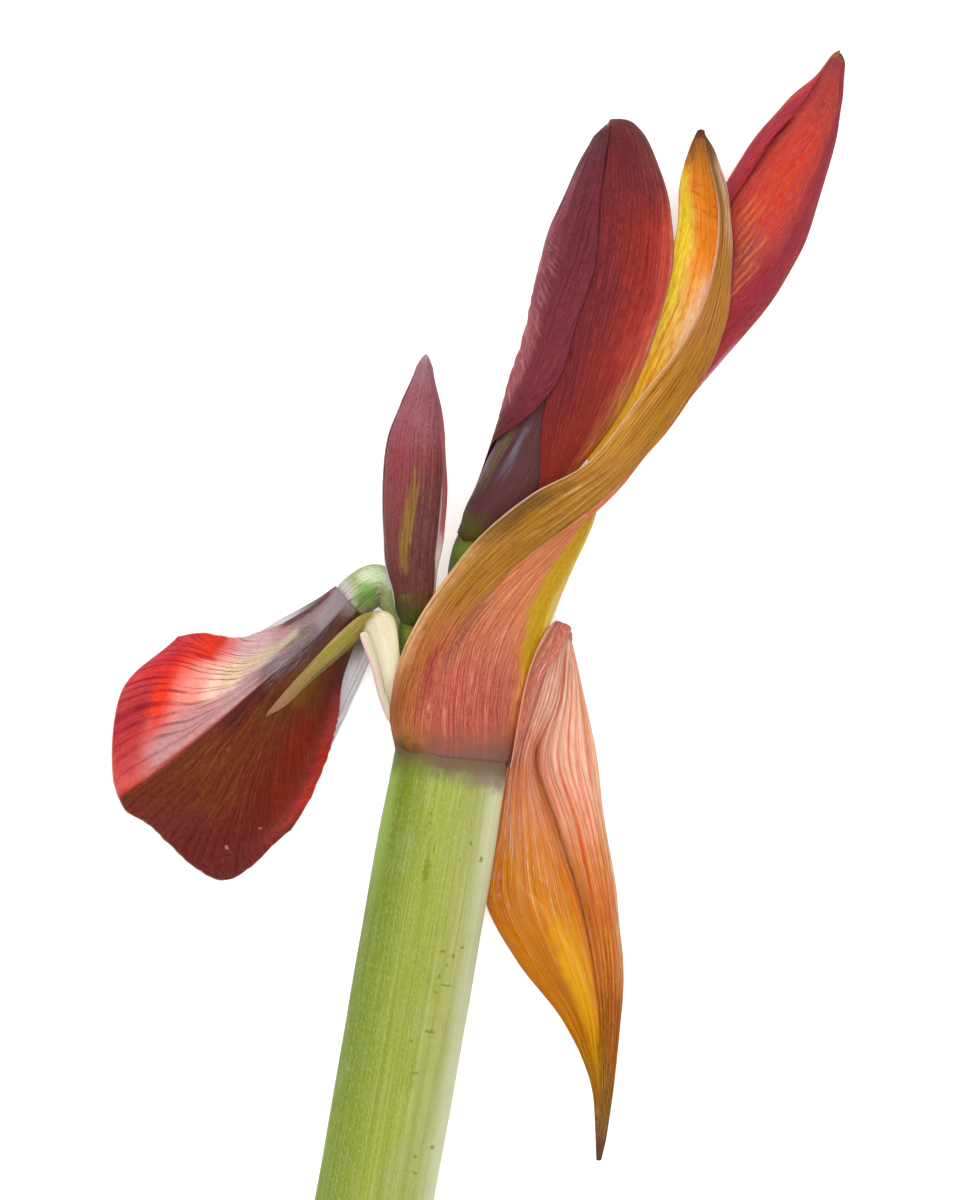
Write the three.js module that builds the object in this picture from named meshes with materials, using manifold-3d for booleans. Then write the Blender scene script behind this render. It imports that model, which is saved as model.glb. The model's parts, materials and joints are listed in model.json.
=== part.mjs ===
// An amaryllis flower head on its cut scape, lying on a flat surface. Millimetres, +Z up.
// The scape lies along +Y with its cut end at -Y. The head is laid out by how far each point is
// across, up and above the surface as seen from overhead with the scape leaning, and turned
// as a whole so that the scape lies straight.
import * as THREE from "three";
import { mergeVertices } from "three/addons/utils/BufferGeometryUtils.js";
import Module from "manifold-3d";

// Driving sizes of the scape
const LEAN = THREE.MathUtils.degToRad(9.9);
const STEM_LENGTH = 230;
const STEM_RADIUS = 13.2;
const STEM_FLATTENING = 0.94;
const STEM_HEIGHT = 12.1;
const STEM_SHIFT = -0.4;
const BORE_RADIUS = 8.6;
const BORE_STOP = 11;
const COLLAR_RADIUS = 12.5;
const PLUG_RADIUS = 11.3;
const PLUG_HEIGHT = 3;
const STEM_SIDES = 40;
const VALVE_RING = 13.1;
const VALVE_SEAT = 0.4;

// Thickness of the living tissue
const VALVE_THICKNESS = 0.8;
const TEPAL_THICKNESS = 0.7;
const BRACTEOLE_THICKNESS = 0.7;
const OVERLAP_LIFT = 0.75;
const FULL_LIFT_RADIUS = 4;
const INNER_WHORL_DROP = 2.1;

// Grid steps along and across each kind of blade, and along and round each stalk
const UPRIGHT_STEPS = [26, 11];
const HANGING_STEPS = [28, 9];
const BROAD_STEPS = [16, 4];
const NARROW_STEPS = [8, 3];
const BUD_STEPS = [13, 6];
const SMALL_BUD_STEPS = [11, 5];
const INNER_STEPS = [7, 4];
const KEELED_STEPS = [16, 12];
const DROOPING_STEPS = [10, 5];
const STALK_STEPS = [13, 9];
const DROOPING_STALK_STEPS = [15, 9];
const FILAMENT_STEPS = [7, 5];

// Colours of the pieces
const STEM_GREEN = 0xb5c98b;
const VALVE_ORANGE = 0xcf8a4a;
const VALVE_SALMON = 0xdd8f66;
const BUD_CRIMSON = 0x7d2530;
const BUD_RED = 0xa52a2a;
const BUD_PLUM = 0x74404a;
const FLOWER_RED = 0x9c2a26;
const FLOWER_PALE = 0xcfc4c6;
const PALE_GREEN = 0xd9dcae;
const OVARY_GREEN = 0x7c8b45;

// A uniform Catmull-Rom curve through rows of numbers, at u from 0 to 1.
function through(rows, u) {
  const last = rows.length - 1;
  const at = Math.min(Math.max(u, 0), 1) * last;
  const i = Math.min(Math.floor(at), last - 1);
  const w = at - i;
  const before = (k) => 2 * rows[0][k] - rows[1][k];
  const after = (k) => 2 * rows[last][k] - rows[last - 1][k];
  return rows[0].map((_, k) => {
    const a = i > 0 ? rows[i - 1][k] : before(k);
    const b = rows[i][k];
    const c = rows[i + 1][k];
    const d = i + 2 <= last ? rows[i + 2][k] : after(k);
    const square = 2 * a - 5 * b + 4 * c - d;
    const cube = 3 * b - a - 3 * c + d;
    return b + 0.5 * w * (c - a + w * (square + w * cube));
  });
}

// A surface through guide lines: each row of stations crosses the blade from margin to margin.
function blade(stations, lengthSteps, widthSteps) {
  const flat = stations.map((row) => row.flat());
  const grid = [];
  for (let i = 0; i <= lengthSteps; i++) {
    const row = through(flat, i / lengthSteps);
    const guides = [];
    for (let k = 0; k < row.length; k += 3) guides.push(row.slice(k, k + 3));
    grid.push([]);
    for (let j = 0; j <= widthSteps; j++) {
      grid[i].push(new THREE.Vector3(...through(guides, j / widthSteps)));
    }
  }
  return grid;
}

// The frame of a curved axis at u: its place, its upward normal, its sideways binormal, its radius.
function axisFrame(axis, u) {
  const [x, y, z, radius] = through(axis, u);
  const ahead = new THREE.Vector3(...through(axis, u + 0.001));
  const behind = new THREE.Vector3(...through(axis, u - 0.001));
  const tangent = ahead.sub(behind).normalize();
  const normal = new THREE.Vector3(0, 0, 1).addScaledVector(tangent, -tangent.z).normalize();
  const side = tangent.clone().cross(normal);
  return { place: new THREE.Vector3(x, y, z), normal, side, radius };
}

function onRing(frame, radius, angle) {
  const turn = THREE.MathUtils.degToRad(angle);
  return frame.place
    .clone()
    .addScaledVector(frame.normal, radius * Math.cos(turn))
    .addScaledVector(frame.side, radius * Math.sin(turn));
}

// A tepal wrapped round a bud: its margins run at the angles low and high, its low margin
// tucked under its neighbour and its high margin over the next.
function wrapped(axis, tepal, lengthSteps, widthSteps) {
  const { low, high, from = 0, to = 1, drop = 0, lift = OVERLAP_LIFT } = tepal;
  const grid = [];
  for (let i = 0; i <= lengthSteps; i++) {
    const t = i / lengthSteps;
    const frame = axisFrame(axis, from + (to - from) * t);
    const margins = [through(low, t)[0], through(high, t)[0]];
    const raise = lift * Math.min(1, frame.radius / FULL_LIFT_RADIUS);
    grid.push([]);
    for (let j = 0; j <= widthSteps; j++) {
      const v = j / widthSteps;
      const radius = frame.radius - drop + raise * (2 * v - 1);
      grid[i].push(onRing(frame, radius, margins[0] + (margins[1] - margins[0]) * v));
    }
  }
  return grid;
}

// Makes a grid of points a closed blade: both faces split along the same diagonals, and the
// rim. Where the blade would sink below the surface it is pressed flat against it.
function thicken(grid, thickness) {
  const rows = grid.length;
  const columns = grid[0].length;
  const clampTo = (k, count) => Math.min(Math.max(k, 0), count - 1);
  const faces = [[], []];
  for (let i = 0; i < rows; i++) {
    for (let j = 0; j < columns; j++) {
      const along = grid[clampTo(i + 1, rows)][j].clone().sub(grid[clampTo(i - 1, rows)][j]);
      const across = grid[i][clampTo(j + 1, columns)].clone().sub(grid[i][clampTo(j - 1, columns)]);
      const half = across.cross(along).normalize().multiplyScalar(thickness / 2);
      const pair = [grid[i][j].clone().add(half), grid[i][j].clone().sub(half)];
      const lowest = Math.min(pair[0].z, pair[1].z);
      pair.forEach((point, side) => {
        if (lowest < 0) point.z -= lowest;
        faces[side].push(point.x, point.y, point.z);
      });
    }
  }
  const other = rows * columns;
  const index = [];
  const id = (i, j) => i * columns + j;
  for (let i = 0; i + 1 < rows; i++) {
    for (let j = 0; j + 1 < columns; j++) {
      const [a, b, c, d] = [id(i, j), id(i, j + 1), id(i + 1, j + 1), id(i + 1, j)];
      index.push(a, b, c, a, c, d);
      index.push(other + a, other + c, other + b, other + a, other + d, other + c);
    }
  }
  const wall = (p, q) => index.push(q, p, other + p, q, other + p, other + q);
  for (let j = 0; j + 1 < columns; j++) {
    wall(id(0, j), id(0, j + 1));
    wall(id(rows - 1, j + 1), id(rows - 1, j));
  }
  for (let i = 0; i + 1 < rows; i++) {
    wall(id(i, columns - 1), id(i + 1, columns - 1));
    wall(id(i + 1, 0), id(i, 0));
  }
  const geometry = new THREE.BufferGeometry();
  geometry.setAttribute("position", new THREE.Float32BufferAttribute(faces.flat(), 3));
  geometry.setIndex(index);
  return geometry;
}

// A round stalk of changing radius along a curved axis, closed at both ends.
function stalk(axis, lengthSteps, sides) {
  const points = [];
  const index = [];
  for (let i = 0; i <= lengthSteps; i++) {
    const frame = axisFrame(axis, i / lengthSteps);
    for (let k = 0; k < sides; k++) {
      points.push(...onRing(frame, frame.radius, (360 * k) / sides).toArray());
    }
  }
  for (let i = 0; i < lengthSteps; i++) {
    for (let k = 0; k < sides; k++) {
      const [a, b] = [i * sides + k, i * sides + ((k + 1) % sides)];
      index.push(a, b, b + sides, a, b + sides, a + sides);
    }
  }
  const start = points.length / 3;
  points.push(...through(axis, 0).slice(0, 3), ...through(axis, 1).slice(0, 3));
  for (let k = 0; k < sides; k++) {
    const next = (k + 1) % sides;
    index.push(start, next, k);
    index.push(start + 1, lengthSteps * sides + k, lengthSteps * sides + next);
  }
  const geometry = new THREE.BufferGeometry();
  geometry.setAttribute("position", new THREE.Float32BufferAttribute(points, 3));
  geometry.setIndex(index);
  return geometry;
}

const wasm = await Module();
wasm.setup();

// Joins closed geometries that grow into each other to one body.
function joined(geometries) {
  const solids = geometries.map((geometry) => {
    const merged = mergeVertices(geometry, 1e-3);
    return new wasm.Manifold(
      new wasm.Mesh({
        numProp: 3,
        vertProperties: merged.attributes.position.array,
        triVerts: new Uint32Array(merged.index.array),
      }),
    );
  });
  const mesh = solids.reduce((a, b) => a.add(b)).getMesh();
  const geometry = new THREE.BufferGeometry();
  geometry.setAttribute("position", new THREE.BufferAttribute(mesh.vertProperties, 3));
  geometry.setIndex(new THREE.BufferAttribute(mesh.triVerts, 1));
  return geometry;
}

const amaryllis = new THREE.Group();
const head = new THREE.Group();
head.rotation.z = LEAN;
amaryllis.add(head);

function addPiece(parent, name, geometry, color, roughness) {
  const material = new THREE.MeshStandardMaterial({ color, roughness, metalness: 0 });
  const mesh = new THREE.Mesh(geometry, material);
  mesh.name = name;
  parent.add(mesh);
}

// The hollow scape: its profile runs from the end of the bore out over the cut end, up the
// outside to the collar, and in over the plug that carries the flower stalks.
function scapeGeometry() {
  const outside = [
    [STEM_RADIUS + 0.3, -STEM_LENGTH],
    [STEM_RADIUS + 0.1, -150],
    [STEM_RADIUS - 0.1, -96],
    [STEM_RADIUS, -60],
    [STEM_RADIUS + 0.1, -34],
    [STEM_RADIUS - 0.1, -16],
    [STEM_RADIUS - 0.5, -7],
    [COLLAR_RADIUS, -3],
    [COLLAR_RADIUS, 0],
    [PLUG_RADIUS, 0],
    [PLUG_RADIUS, PLUG_HEIGHT - 1],
    [PLUG_RADIUS - 1, PLUG_HEIGHT],
  ];
  const bore = [
    [0, -BORE_STOP],
    [BORE_RADIUS - 3, -BORE_STOP - 1],
    [BORE_RADIUS, -BORE_STOP - 5],
    [BORE_RADIUS, -STEM_LENGTH],
  ];
  const profile = [...bore, ...outside, [0, PLUG_HEIGHT]];
  const points2d = profile.map((p) => new THREE.Vector2(...p));
  const geometry = new THREE.LatheGeometry(points2d, STEM_SIDES);
  geometry.rotateY(Math.PI / STEM_SIDES);
  geometry.scale(1, 1, STEM_FLATTENING);
  geometry.translate(STEM_SHIFT, 0, STEM_HEIGHT);
  const points = geometry.attributes.position;
  for (let i = 0; i < points.count; i++) points.setZ(i, Math.max(points.getZ(i), 0));
  return geometry;
}

addPiece(amaryllis, "scape", scapeGeometry(), STEM_GREEN, 0.45);

// A point fixed on the scape, x to its right and y along it, as the leaning head counts it.
function besideScape(x, y, z) {
  return [
    x * Math.cos(LEAN) + y * Math.sin(LEAN),
    y * Math.cos(LEAN) - x * Math.sin(LEAN),
    z,
  ];
}

// Points round the collar at angles from straight up, where a valve grows from its rim.
function collarArc(angles, radii) {
  return angles.map((angle, k) => {
    const turn = THREE.MathUtils.degToRad(angle);
    const height = STEM_HEIGHT + radii[k] * STEM_FLATTENING * Math.cos(turn);
    return besideScape(radii[k] * Math.sin(turn), VALVE_SEAT, height);
  });
}

// The upright valve: each row runs from its left margin, which winds round to the front,
// over its back to its right margin, which winds behind the buds.
const UPRIGHT_VALVE = [
  collarArc([-97, -48, 0, 46, 92], [VALVE_RING, VALVE_RING, VALVE_RING, VALVE_RING, VALVE_RING]),
  [[-14, 10, 14], [-9, 11.5, 24.5], [0.5, 13, 27], [9.5, 13.5, 24], [16, 15, 15]],
  [[-11, 23.5, 19.5], [-5.5, 24, 25.5], [3, 26, 27.5], [13, 26.5, 24.5], [20.5, 27, 17.5]],
  [[-5, 35, 24], [1, 35, 27], [10.5, 36.5, 27.5], [20, 39, 23.5], [27, 42, 18.5]],
  [[5, 48, 27], [12, 46, 29], [21.5, 47, 26.5], [27, 48.5, 22], [32.5, 55.5, 19]],
  [[17, 58, 28.5], [24.5, 55.5, 29], [33.5, 56.5, 25], [35, 61.5, 20.5], [36, 65, 19]],
  [[30, 65.5, 28], [37, 65, 28.5], [44, 66.5, 24.5], [42.5, 71.5, 20], [40, 76, 19]],
  [[41, 79.5, 28], [47, 77.5, 28.5], [52, 79.5, 24.5], [49, 85.5, 20.5], [42.5, 90.5, 17.6]],
  [[51, 92.5, 27.5], [55.5, 92, 28], [59, 93.5, 25], [54, 98.5, 21.2], [46, 104, 17.6]],
  [[56.5, 105.5, 27], [59, 105, 27], [61, 108, 25], [56.5, 112, 22], [49.5, 116.5, 19.5]],
  [[58.5, 119.5, 26.5], [60, 120, 26.5], [60.5, 121.5, 25], [56, 124, 23], [50.5, 126.5, 22.5]],
  [[56.8, 132, 25.5], [57.5, 132.3, 25.4], [57.3, 133, 24.5], [55, 133.5, 24], [52.5, 134, 23.5]],
  [[55.4, 138.4, 24.5], [55, 138.6, 24.5], [54.6, 138.7, 24.4], [54.2, 138.6, 24.3], [53.8, 138.4, 24.2]],
];

// The hanging valve: it rises behind the right of the collar, folds over, and hangs beside
// the scape. Each row runs from its left margin to its right, with a crease in the middle.
const HANGING_VALVE = [
  collarArc([78, 88, 99, 110, 120], [14.2, 14.2, 13.9, 13.5, 13.2]),
  [[15, 9, 17.3], [18, 8.5, 14.2], [18.5, 9, 11.5], [17.5, 10, 10], [15.5, 10.5, 9]],
  [[17, 20, 18.8], [21.3, 18.5, 15], [22.5, 19.5, 12], [21, 20.5, 10.8], [18.5, 21, 10]],
  [[19.6, 26.5, 19.5], [23.5, 25, 16], [25, 26.5, 13.5], [24.5, 27.5, 12], [23, 27.5, 11]],
  [[23.2, 30, 16.2], [24.8, 29.6, 14], [26, 28.8, 12], [26.3, 27.8, 10.5], [26, 26.5, 9]],
  [[21.5, 26, 7.5], [23, 25.5, 8], [24.5, 25, 8], [26, 24, 7.5], [27, 23, 7]],
  [[16, 12.5, 6], [19.5, 13, 7], [22.5, 12.5, 6], [26, 13, 8], [29.5, 12.5, 6.5]],
  [[12, -2, 4.5], [15.5, -1.5, 5], [18, -1, 4], [25, -1, 8.5], [32, -0.5, 6]],
  [[9, -18, 4], [16, -17.5, 5], [22.5, -17, 4], [29, -16, 8.5], [34, -15.5, 6]],
  [[7, -32, 3], [17.5, -32.5, 4.5], [27, -32.5, 4], [32.5, -32.5, 8], [36.5, -32.5, 5.5]],
  [[14, -46, 3], [22.5, -46, 3], [30.5, -46, 4], [34.5, -46, 7], [38, -46, 5]],
  [[24, -59, 3], [28.5, -59, 3], [32.5, -59, 4], [35, -59, 6], [37.5, -59.5, 5]],
  [[30.5, -72.5, 2.5], [31.8, -72.5, 3], [33, -72.5, 3.5], [34.5, -72.5, 4.5], [36, -73, 4]],
  [[31.8, -84.5, 3], [32.5, -84.5, 3.2], [33.2, -84.5, 3.4], [33.9, -84.5, 3.5], [34.5, -84.5, 3.3]],
  [[32, -91, 3], [32.3, -91.1, 3], [32.6, -91.2, 3], [32.9, -91.1, 3], [33.2, -91, 3]],
];

function addValves() {
  const upright = thicken(blade(UPRIGHT_VALVE, ...UPRIGHT_STEPS), VALVE_THICKNESS);
  const hanging = thicken(blade(HANGING_VALVE, ...HANGING_STEPS), VALVE_THICKNESS);
  addPiece(head, "spathe_valve_upright", upright, VALVE_ORANGE, 0.5);
  addPiece(head, "spathe_valve_hanging", hanging, VALVE_SALMON, 0.5);
}

addValves();

// Bracteoles between the stalks, as rows of left margin, middle and right margin.
const BROAD_BRACTEOLE = [
  [besideScape(-10.3, 3.6, 9.6), besideScape(-9.2, 3.6, 10.3), besideScape(-8.2, 3.6, 10.3)],
  [[-12.5, 6.7, 9.6], [-11.2, 7, 10.3], [-9.9, 7.5, 10]],
  [[-15, 13.5, 13], [-13, 14, 13.8], [-11.6, 14.5, 13.2]],
  [[-17.5, 21.5, 17], [-15, 22, 18], [-12.8, 22.5, 17]],
  [[-20, 26.5, 20.5], [-17.3, 28, 22.3], [-14.8, 29.5, 21]],
  [[-22, 26, 23], [-21, 28, 25], [-19.5, 30, 24]],
  [[-26.5, 22.5, 25.5], [-25.5, 24.5, 27], [-24.5, 26.5, 26.5]],
  [[-32.5, 17, 27.5], [-31, 18.5, 28.5], [-29.5, 20.5, 28]],
  [[-37.5, 12, 29], [-36.5, 13, 29.5], [-35.5, 14.5, 29.5]],
  [[-41, 9.6, 30.3], [-40.8, 10, 30.4], [-40.6, 10.4, 30.3]],
];
const NARROW_BRACTEOLE = [
  [besideScape(-11.2, 3.6, 11.2), besideScape(-10.4, 3.6, 11.7), besideScape(-9.6, 3.6, 11.9)],
  [[-14.2, 7.5, 11.2], [-13.4, 7.8, 11.5], [-12.5, 8.1, 11.6]],
  [[-16.4, 12.5, 14.5], [-15.6, 12.8, 15], [-15, 13.1, 15]],
  [[-18.2, 20, 20.5], [-17.3, 20.4, 21], [-16.5, 20.8, 20.5]],
  [[-20.3, 26, 25.3], [-19.4, 26.4, 25.6], [-18.5, 26.8, 25.3]],
  [[-20.5, 27.6, 26], [-19.9, 27.8, 26.2], [-19.3, 28, 26]],
];

function addBracteoles() {
  const broad = thicken(blade(BROAD_BRACTEOLE, ...BROAD_STEPS), BRACTEOLE_THICKNESS);
  const narrow = thicken(blade(NARROW_BRACTEOLE, ...NARROW_STEPS), BRACTEOLE_THICKNESS);
  addPiece(head, "bracteole_broad", broad, PALE_GREEN, 0.5);
  addPiece(head, "bracteole_narrow", narrow, PALE_GREEN, 0.5);
}

addBracteoles();

// Each bud's axis from its floral tube to its tip, as across, up, height, radius. Each outer
// tepal's margins are angles round that axis from straight up, positive to the right.
const BUDS = {
  large_bud: {
    color: BUD_CRIMSON,
    axis: [
      [3.5, 48, 14.7, 4.6], [11, 57, 17.7, 7], [18.5, 68.5, 21, 9.8], [24, 79, 24, 12.2],
      [28.5, 91, 26, 13.7], [32, 103, 27.2, 14.6], [34, 112.5, 27.6, 14.5], [35.5, 119.5, 27.6, 12.8],
      [36, 126, 27.6, 10.4], [36.5, 133, 27.6, 7.7], [36, 137.5, 27.6, 4.9], [35, 140.5, 27.6, 1.7],
    ],
    outer: [
      { low: [[-150], [-165], [-165], [-165], [-135]], high: [[-40], [-35], [-15], [-15], [-55]] },
      { low: [[20], [-5], [-31], [-31], [-5]], high: [[95], [112], [112], [112], [75]] },
      { low: [[110], [95], [95], [95], [115]], high: [[205], [212], [212], [212], [190]] },
    ],
    innerReach: [0.1, 0.84],
    innerTurn: -15,
    stalk: [
      [...besideScape(-1.5, 4, 15.2), 3], [-0.5, 17, 15, 2.8], [0.5, 30.5, 15, 3], [1.2, 38, 15, 3.8],
      [1.8, 42.5, 14.8, 4.1], [2.7, 46, 14.6, 3.6], [3.7, 48.5, 14.7, 3.1], [5, 50, 15.2, 2.6],
    ],
  },
  right_bud: {
    color: BUD_RED,
    axis: [
      [45, 78, 10.3, 4.7], [54, 95, 10.6, 8.5], [63.5, 109, 10.7, 10], [70, 122.5, 10.7, 10.5],
      [78, 141.5, 10.7, 7.6], [83.5, 150.5, 11, 3.6], [86.5, 157.5, 11.5, 1.4],
    ],
    outer: [
      { low: [[-60], [-72], [-72], [-72], [-40]], high: [[70], [87], [87], [87], [50]] },
      { low: [[90], [70], [70], [70], [85]], high: [[210], [222], [222], [222], [175]] },
      { low: [[222], [205], [205], [205], [210]], high: [[290], [305], [305], [305], [282]] },
    ],
    innerReach: [0.16, 0.74],
    innerTurn: 75,
    stalk: [
      [...besideScape(3, 4, 8.6), 2.8], [10, 23.5, 8.8, 2.7], [18, 39.5, 9, 2.8], [28.5, 55, 9.3, 3],
      [36, 65.5, 9.6, 4], [41, 72.5, 10, 4.2], [44, 76.5, 10.2, 3.6], [45.5, 79, 10.3, 3], [46.5, 81, 10.3, 2.5],
    ],
  },
  small_bud: {
    color: BUD_PLUM,
    axis: [
      [-9.5, 29.5, 15.3, 3.5], [-9.2, 37, 18.8, 4.7], [-9.5, 43.5, 21, 5.6], [-9, 50.5, 22.5, 6.6],
      [-8.5, 60.5, 23.5, 7], [-8.5, 70, 24, 6.2], [-7.5, 77, 24, 4.8], [-7, 83.5, 24.5, 2.8],
      [-6, 89, 25, 1.3],
    ],
    outer: [
      { low: [[-70], [-82], [-82], [-82], [-55]], high: [[50], [62], [62], [62], [45]] },
      { low: [[62], [42], [42], [42], [70]], high: [[160], [172], [172], [172], [165]] },
      { low: [[170], [152], [152], [152], [190]], high: [[285], [298], [298], [298], [285]] },
    ],
    innerReach: [0.24, 0.78],
    innerTurn: 50,
    stalk: [
      [...besideScape(-6, 4, 16.8), 2], [-8.5, 14, 14.7, 1.9], [-9.6, 22, 14, 2.2],
      [-9.7, 26.5, 14.4, 2.6], [-9.5, 29.5, 15.3, 2.1], [-9.4, 31.5, 16.3, 1.8],
    ],
  },
};

function addBud(name, bud) {
  const steps = name === "small_bud" ? SMALL_BUD_STEPS : BUD_STEPS;
  bud.outer.forEach((tepal, k) => {
    const grid = wrapped(bud.axis, tepal, ...steps);
    addPiece(head, `${name}_outer_tepal_${k + 1}`, thicken(grid, TEPAL_THICKNESS), bud.color, 0.4);
  });
  for (let k = 0; k < 3; k++) {
    const middle = bud.innerTurn + 120 * k;
    const tepal = {
      low: [[middle - 38], [middle - 46], [middle - 34]],
      high: [[middle + 38], [middle + 46], [middle + 34]],
      from: bud.innerReach[0],
      to: bud.innerReach[1],
      drop: INNER_WHORL_DROP,
      lift: 0,
    };
    const grid = wrapped(bud.axis, tepal, ...INNER_STEPS);
    addPiece(head, `${name}_inner_tepal_${k + 1}`, thicken(grid, TEPAL_THICKNESS), bud.color, 0.4);
  }
  addPiece(head, `${name}_stalk`, stalk(bud.stalk, ...STALK_STEPS), OVARY_GREEN, 0.4);
}

for (const [name, bud] of Object.entries(BUDS)) addBud(name, bud);

// The drooping flower. Its tepals start on a ring round the floral tube.
const TUBE_MOUTH = [[-19, 36.5, 12.6, 4.6], [-22.4, 33.5, 12.6, 4.6], [-26, 30.3, 12.6, 4.6]];
const OUTER_TUBE = 4.7;
const INNER_TUBE = 3.2;

function tubeArc(radius, angles) {
  const frame = axisFrame(TUBE_MOUTH, 0.5);
  return angles.map((angle) => onRing(frame, radius, angle).toArray());
}

// Each row of a tepal runs from its upper left margin to its lower right margin.
const DROOPING_TEPALS = {
  outer_tepal_1: [
    tubeArc(OUTER_TUBE, [75, 45, 5, -30, -55, -80]),
    [[-32, 33, 17.5], [-31, 30, 21.5], [-30.5, 26.5, 24], [-28.5, 22.5, 22.5], [-26, 20, 19.5], [-24.5, 18, 15]],
    [[-40, 29, 19], [-39.5, 25, 23.5], [-40.5, 18, 27.5], [-36.5, 10.5, 25], [-31.5, 6, 20.5], [-25.5, 10, 13]],
    [[-47.5, 26.5, 19], [-49, 21.5, 24], [-51, 9, 28.5], [-45, -1.5, 24], [-37, -7.5, 17.5], [-28, 0.5, 10]],
    [[-54.5, 27.5, 17], [-60.5, 20.5, 21], [-62.5, 0, 26], [-54.5, -12, 18.5], [-44, -18.5, 11], [-32, -9, 7]],
    [[-61.5, 27, 13], [-74, 14, 14], [-75, -10, 19], [-64.5, -19.5, 11], [-51.5, -28, 3.5], [-36.5, -17, 4]],
  ],
  outer_tepal_2: [
    tubeArc(OUTER_TUBE, [88, 106, 122, 140]),
    [[-31.5, 34.5, 11.5], [-30.8, 32, 12.3], [-30.3, 30, 12], [-29.8, 28.3, 11]],
    [[-40.5, 29.5, 11], [-39.3, 26, 13], [-38.3, 22.5, 13], [-37.3, 19, 12.2]],
    [[-49, 24, 10], [-48, 19, 12], [-47, 14.5, 12.6], [-45.5, 10, 11.8]],
    [[-57.5, 17.5, 9], [-56, 12, 10.5], [-54, 8, 11.5], [-52, 3.5, 10.5]],
    [[-63, 9.5, 8], [-61.5, 7, 8.5], [-60.2, 5, 9], [-58.5, 2.5, 8.5]],
  ],
  outer_tepal_3: [
    tubeArc(OUTER_TUBE, [-142, -125, -108, -92]),
    [[-24, 26, 8], [-22, 25, 7.3], [-19.5, 25, 7.5], [-17.5, 25.8, 8.5]],
    [[-28.5, 17, 7], [-25.5, 16.5, 6.2], [-22.5, 17.5, 6.3], [-19.5, 19.5, 8]],
    [[-34, 7, 6.5], [-30.5, 6.5, 5.4], [-27, 7.8, 5.5], [-23, 11.5, 7]],
    [[-39.5, -3, 6], [-36, -3.5, 4.8], [-32.5, -2.5, 4.8], [-27.5, 2, 6]],
    [[-42.5, -9.5, 5], [-39.5, -10.5, 4], [-36.5, -10.2, 4], [-33, -8.5, 4.6]],
  ],
  inner_tepal_1: [
    tubeArc(INNER_TUBE, [100, 75, 50, 28]),
    [[-30.5, 32.2, 15.5], [-30, 30.5, 17.5], [-30, 28.5, 18.8], [-29.5, 26.5, 19]],
    [[-38.5, 26.5, 16], [-38.5, 23.5, 18.5], [-38, 20.5, 20], [-37.5, 17, 19.5]],
    [[-46, 22.5, 15.5], [-47, 18, 18], [-47, 13.5, 20], [-46, 8.5, 19]],
    [[-53.5, 19, 14], [-55, 13, 16], [-55.5, 8, 18], [-55, 2.5, 17]],
    [[-58.5, 15, 13], [-60.5, 10.5, 14], [-62, 6, 15.5], [-61, 2, 15.5]],
  ],
  inner_tepal_2: [
    tubeArc(INNER_TUBE, [-28, -52, -76, -100]),
    [[-27.5, 24.2, 17], [-26.5, 22.3, 15.3], [-25.5, 20.8, 13], [-24.8, 19.8, 11]],
    [[-36, 13, 18], [-33, 10.3, 15.3], [-30, 9.5, 12], [-27, 11, 9.8]],
    [[-43.5, 0.5, 18], [-40, -3, 14], [-35.5, -3.2, 10.5], [-31, -0.2, 8.4]],
    [[-51.5, -9.5, 12.5], [-47, -13.5, 9], [-42, -14, 6.8], [-37, -10, 6.2]],
    [[-56, -17, 8], [-52.5, -20, 5.8], [-48, -21, 4.8], [-43, -19.5, 4.6]],
  ],
  inner_tepal_3: [
    tubeArc(INNER_TUBE, [158, 173, 187, 202]),
    [[-30, 28.5, 7], [-28.5, 26.8, 6], [-27.2, 25, 6], [-26, 23, 6.2]],
    [[-40.5, 21.5, 5], [-37.5, 16.5, 2.8], [-34.5, 11.5, 2.8], [-31.5, 7.3, 4]],
    [[-51, 12.5, 4.5], [-47.5, 5, 1], [-43.5, -1.8, 1], [-39.5, -7, 2.6]],
    [[-61, 2.5, 4], [-57, -6, 0.2], [-52, -13, 0.2], [-46.5, -17, 1.2]],
    [[-67, -7.5, 4.5], [-63.5, -12, 1.5], [-59, -17.5, 0.6], [-53, -22, 1]],
  ],
};
const DROOPING_STALK = [
  [...besideScape(-6, 4.3, 7.8), 2.6], [-8.5, 15, 7.2, 2.4], [-10.8, 25.5, 7.2, 2.4],
  [-12.5, 32.5, 8.2, 2.7], [-14.6, 36.6, 9.6, 3.4], [-17.3, 38, 11.4, 4], [-20, 36, 12.3, 3.3],
  [-22.3, 33.6, 12.6, 2.4], [-24, 32, 12.6, 2],
];
// Filaments and style run down the flower from inside the tube, each to its own end.
const FILAMENT_RADIUS = 0.75;
const ANTHER_RADIUS = 1.3;
const STIGMA_RADIUS = 1;
const FILAMENT_TIP = 0.6;
const FILAMENT_SAG = 0.4;
const FILAMENT_RING = 1.1;
const FILAMENT_ENDS = [
  [-46, -2, 12], [-43.5, -5.5, 10.5], [-41, -7, 8.5], [-42.5, -3, 6.5], [-46, 0, 7], [-48, 1, 9], [-50, -8, 9],
];

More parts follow.
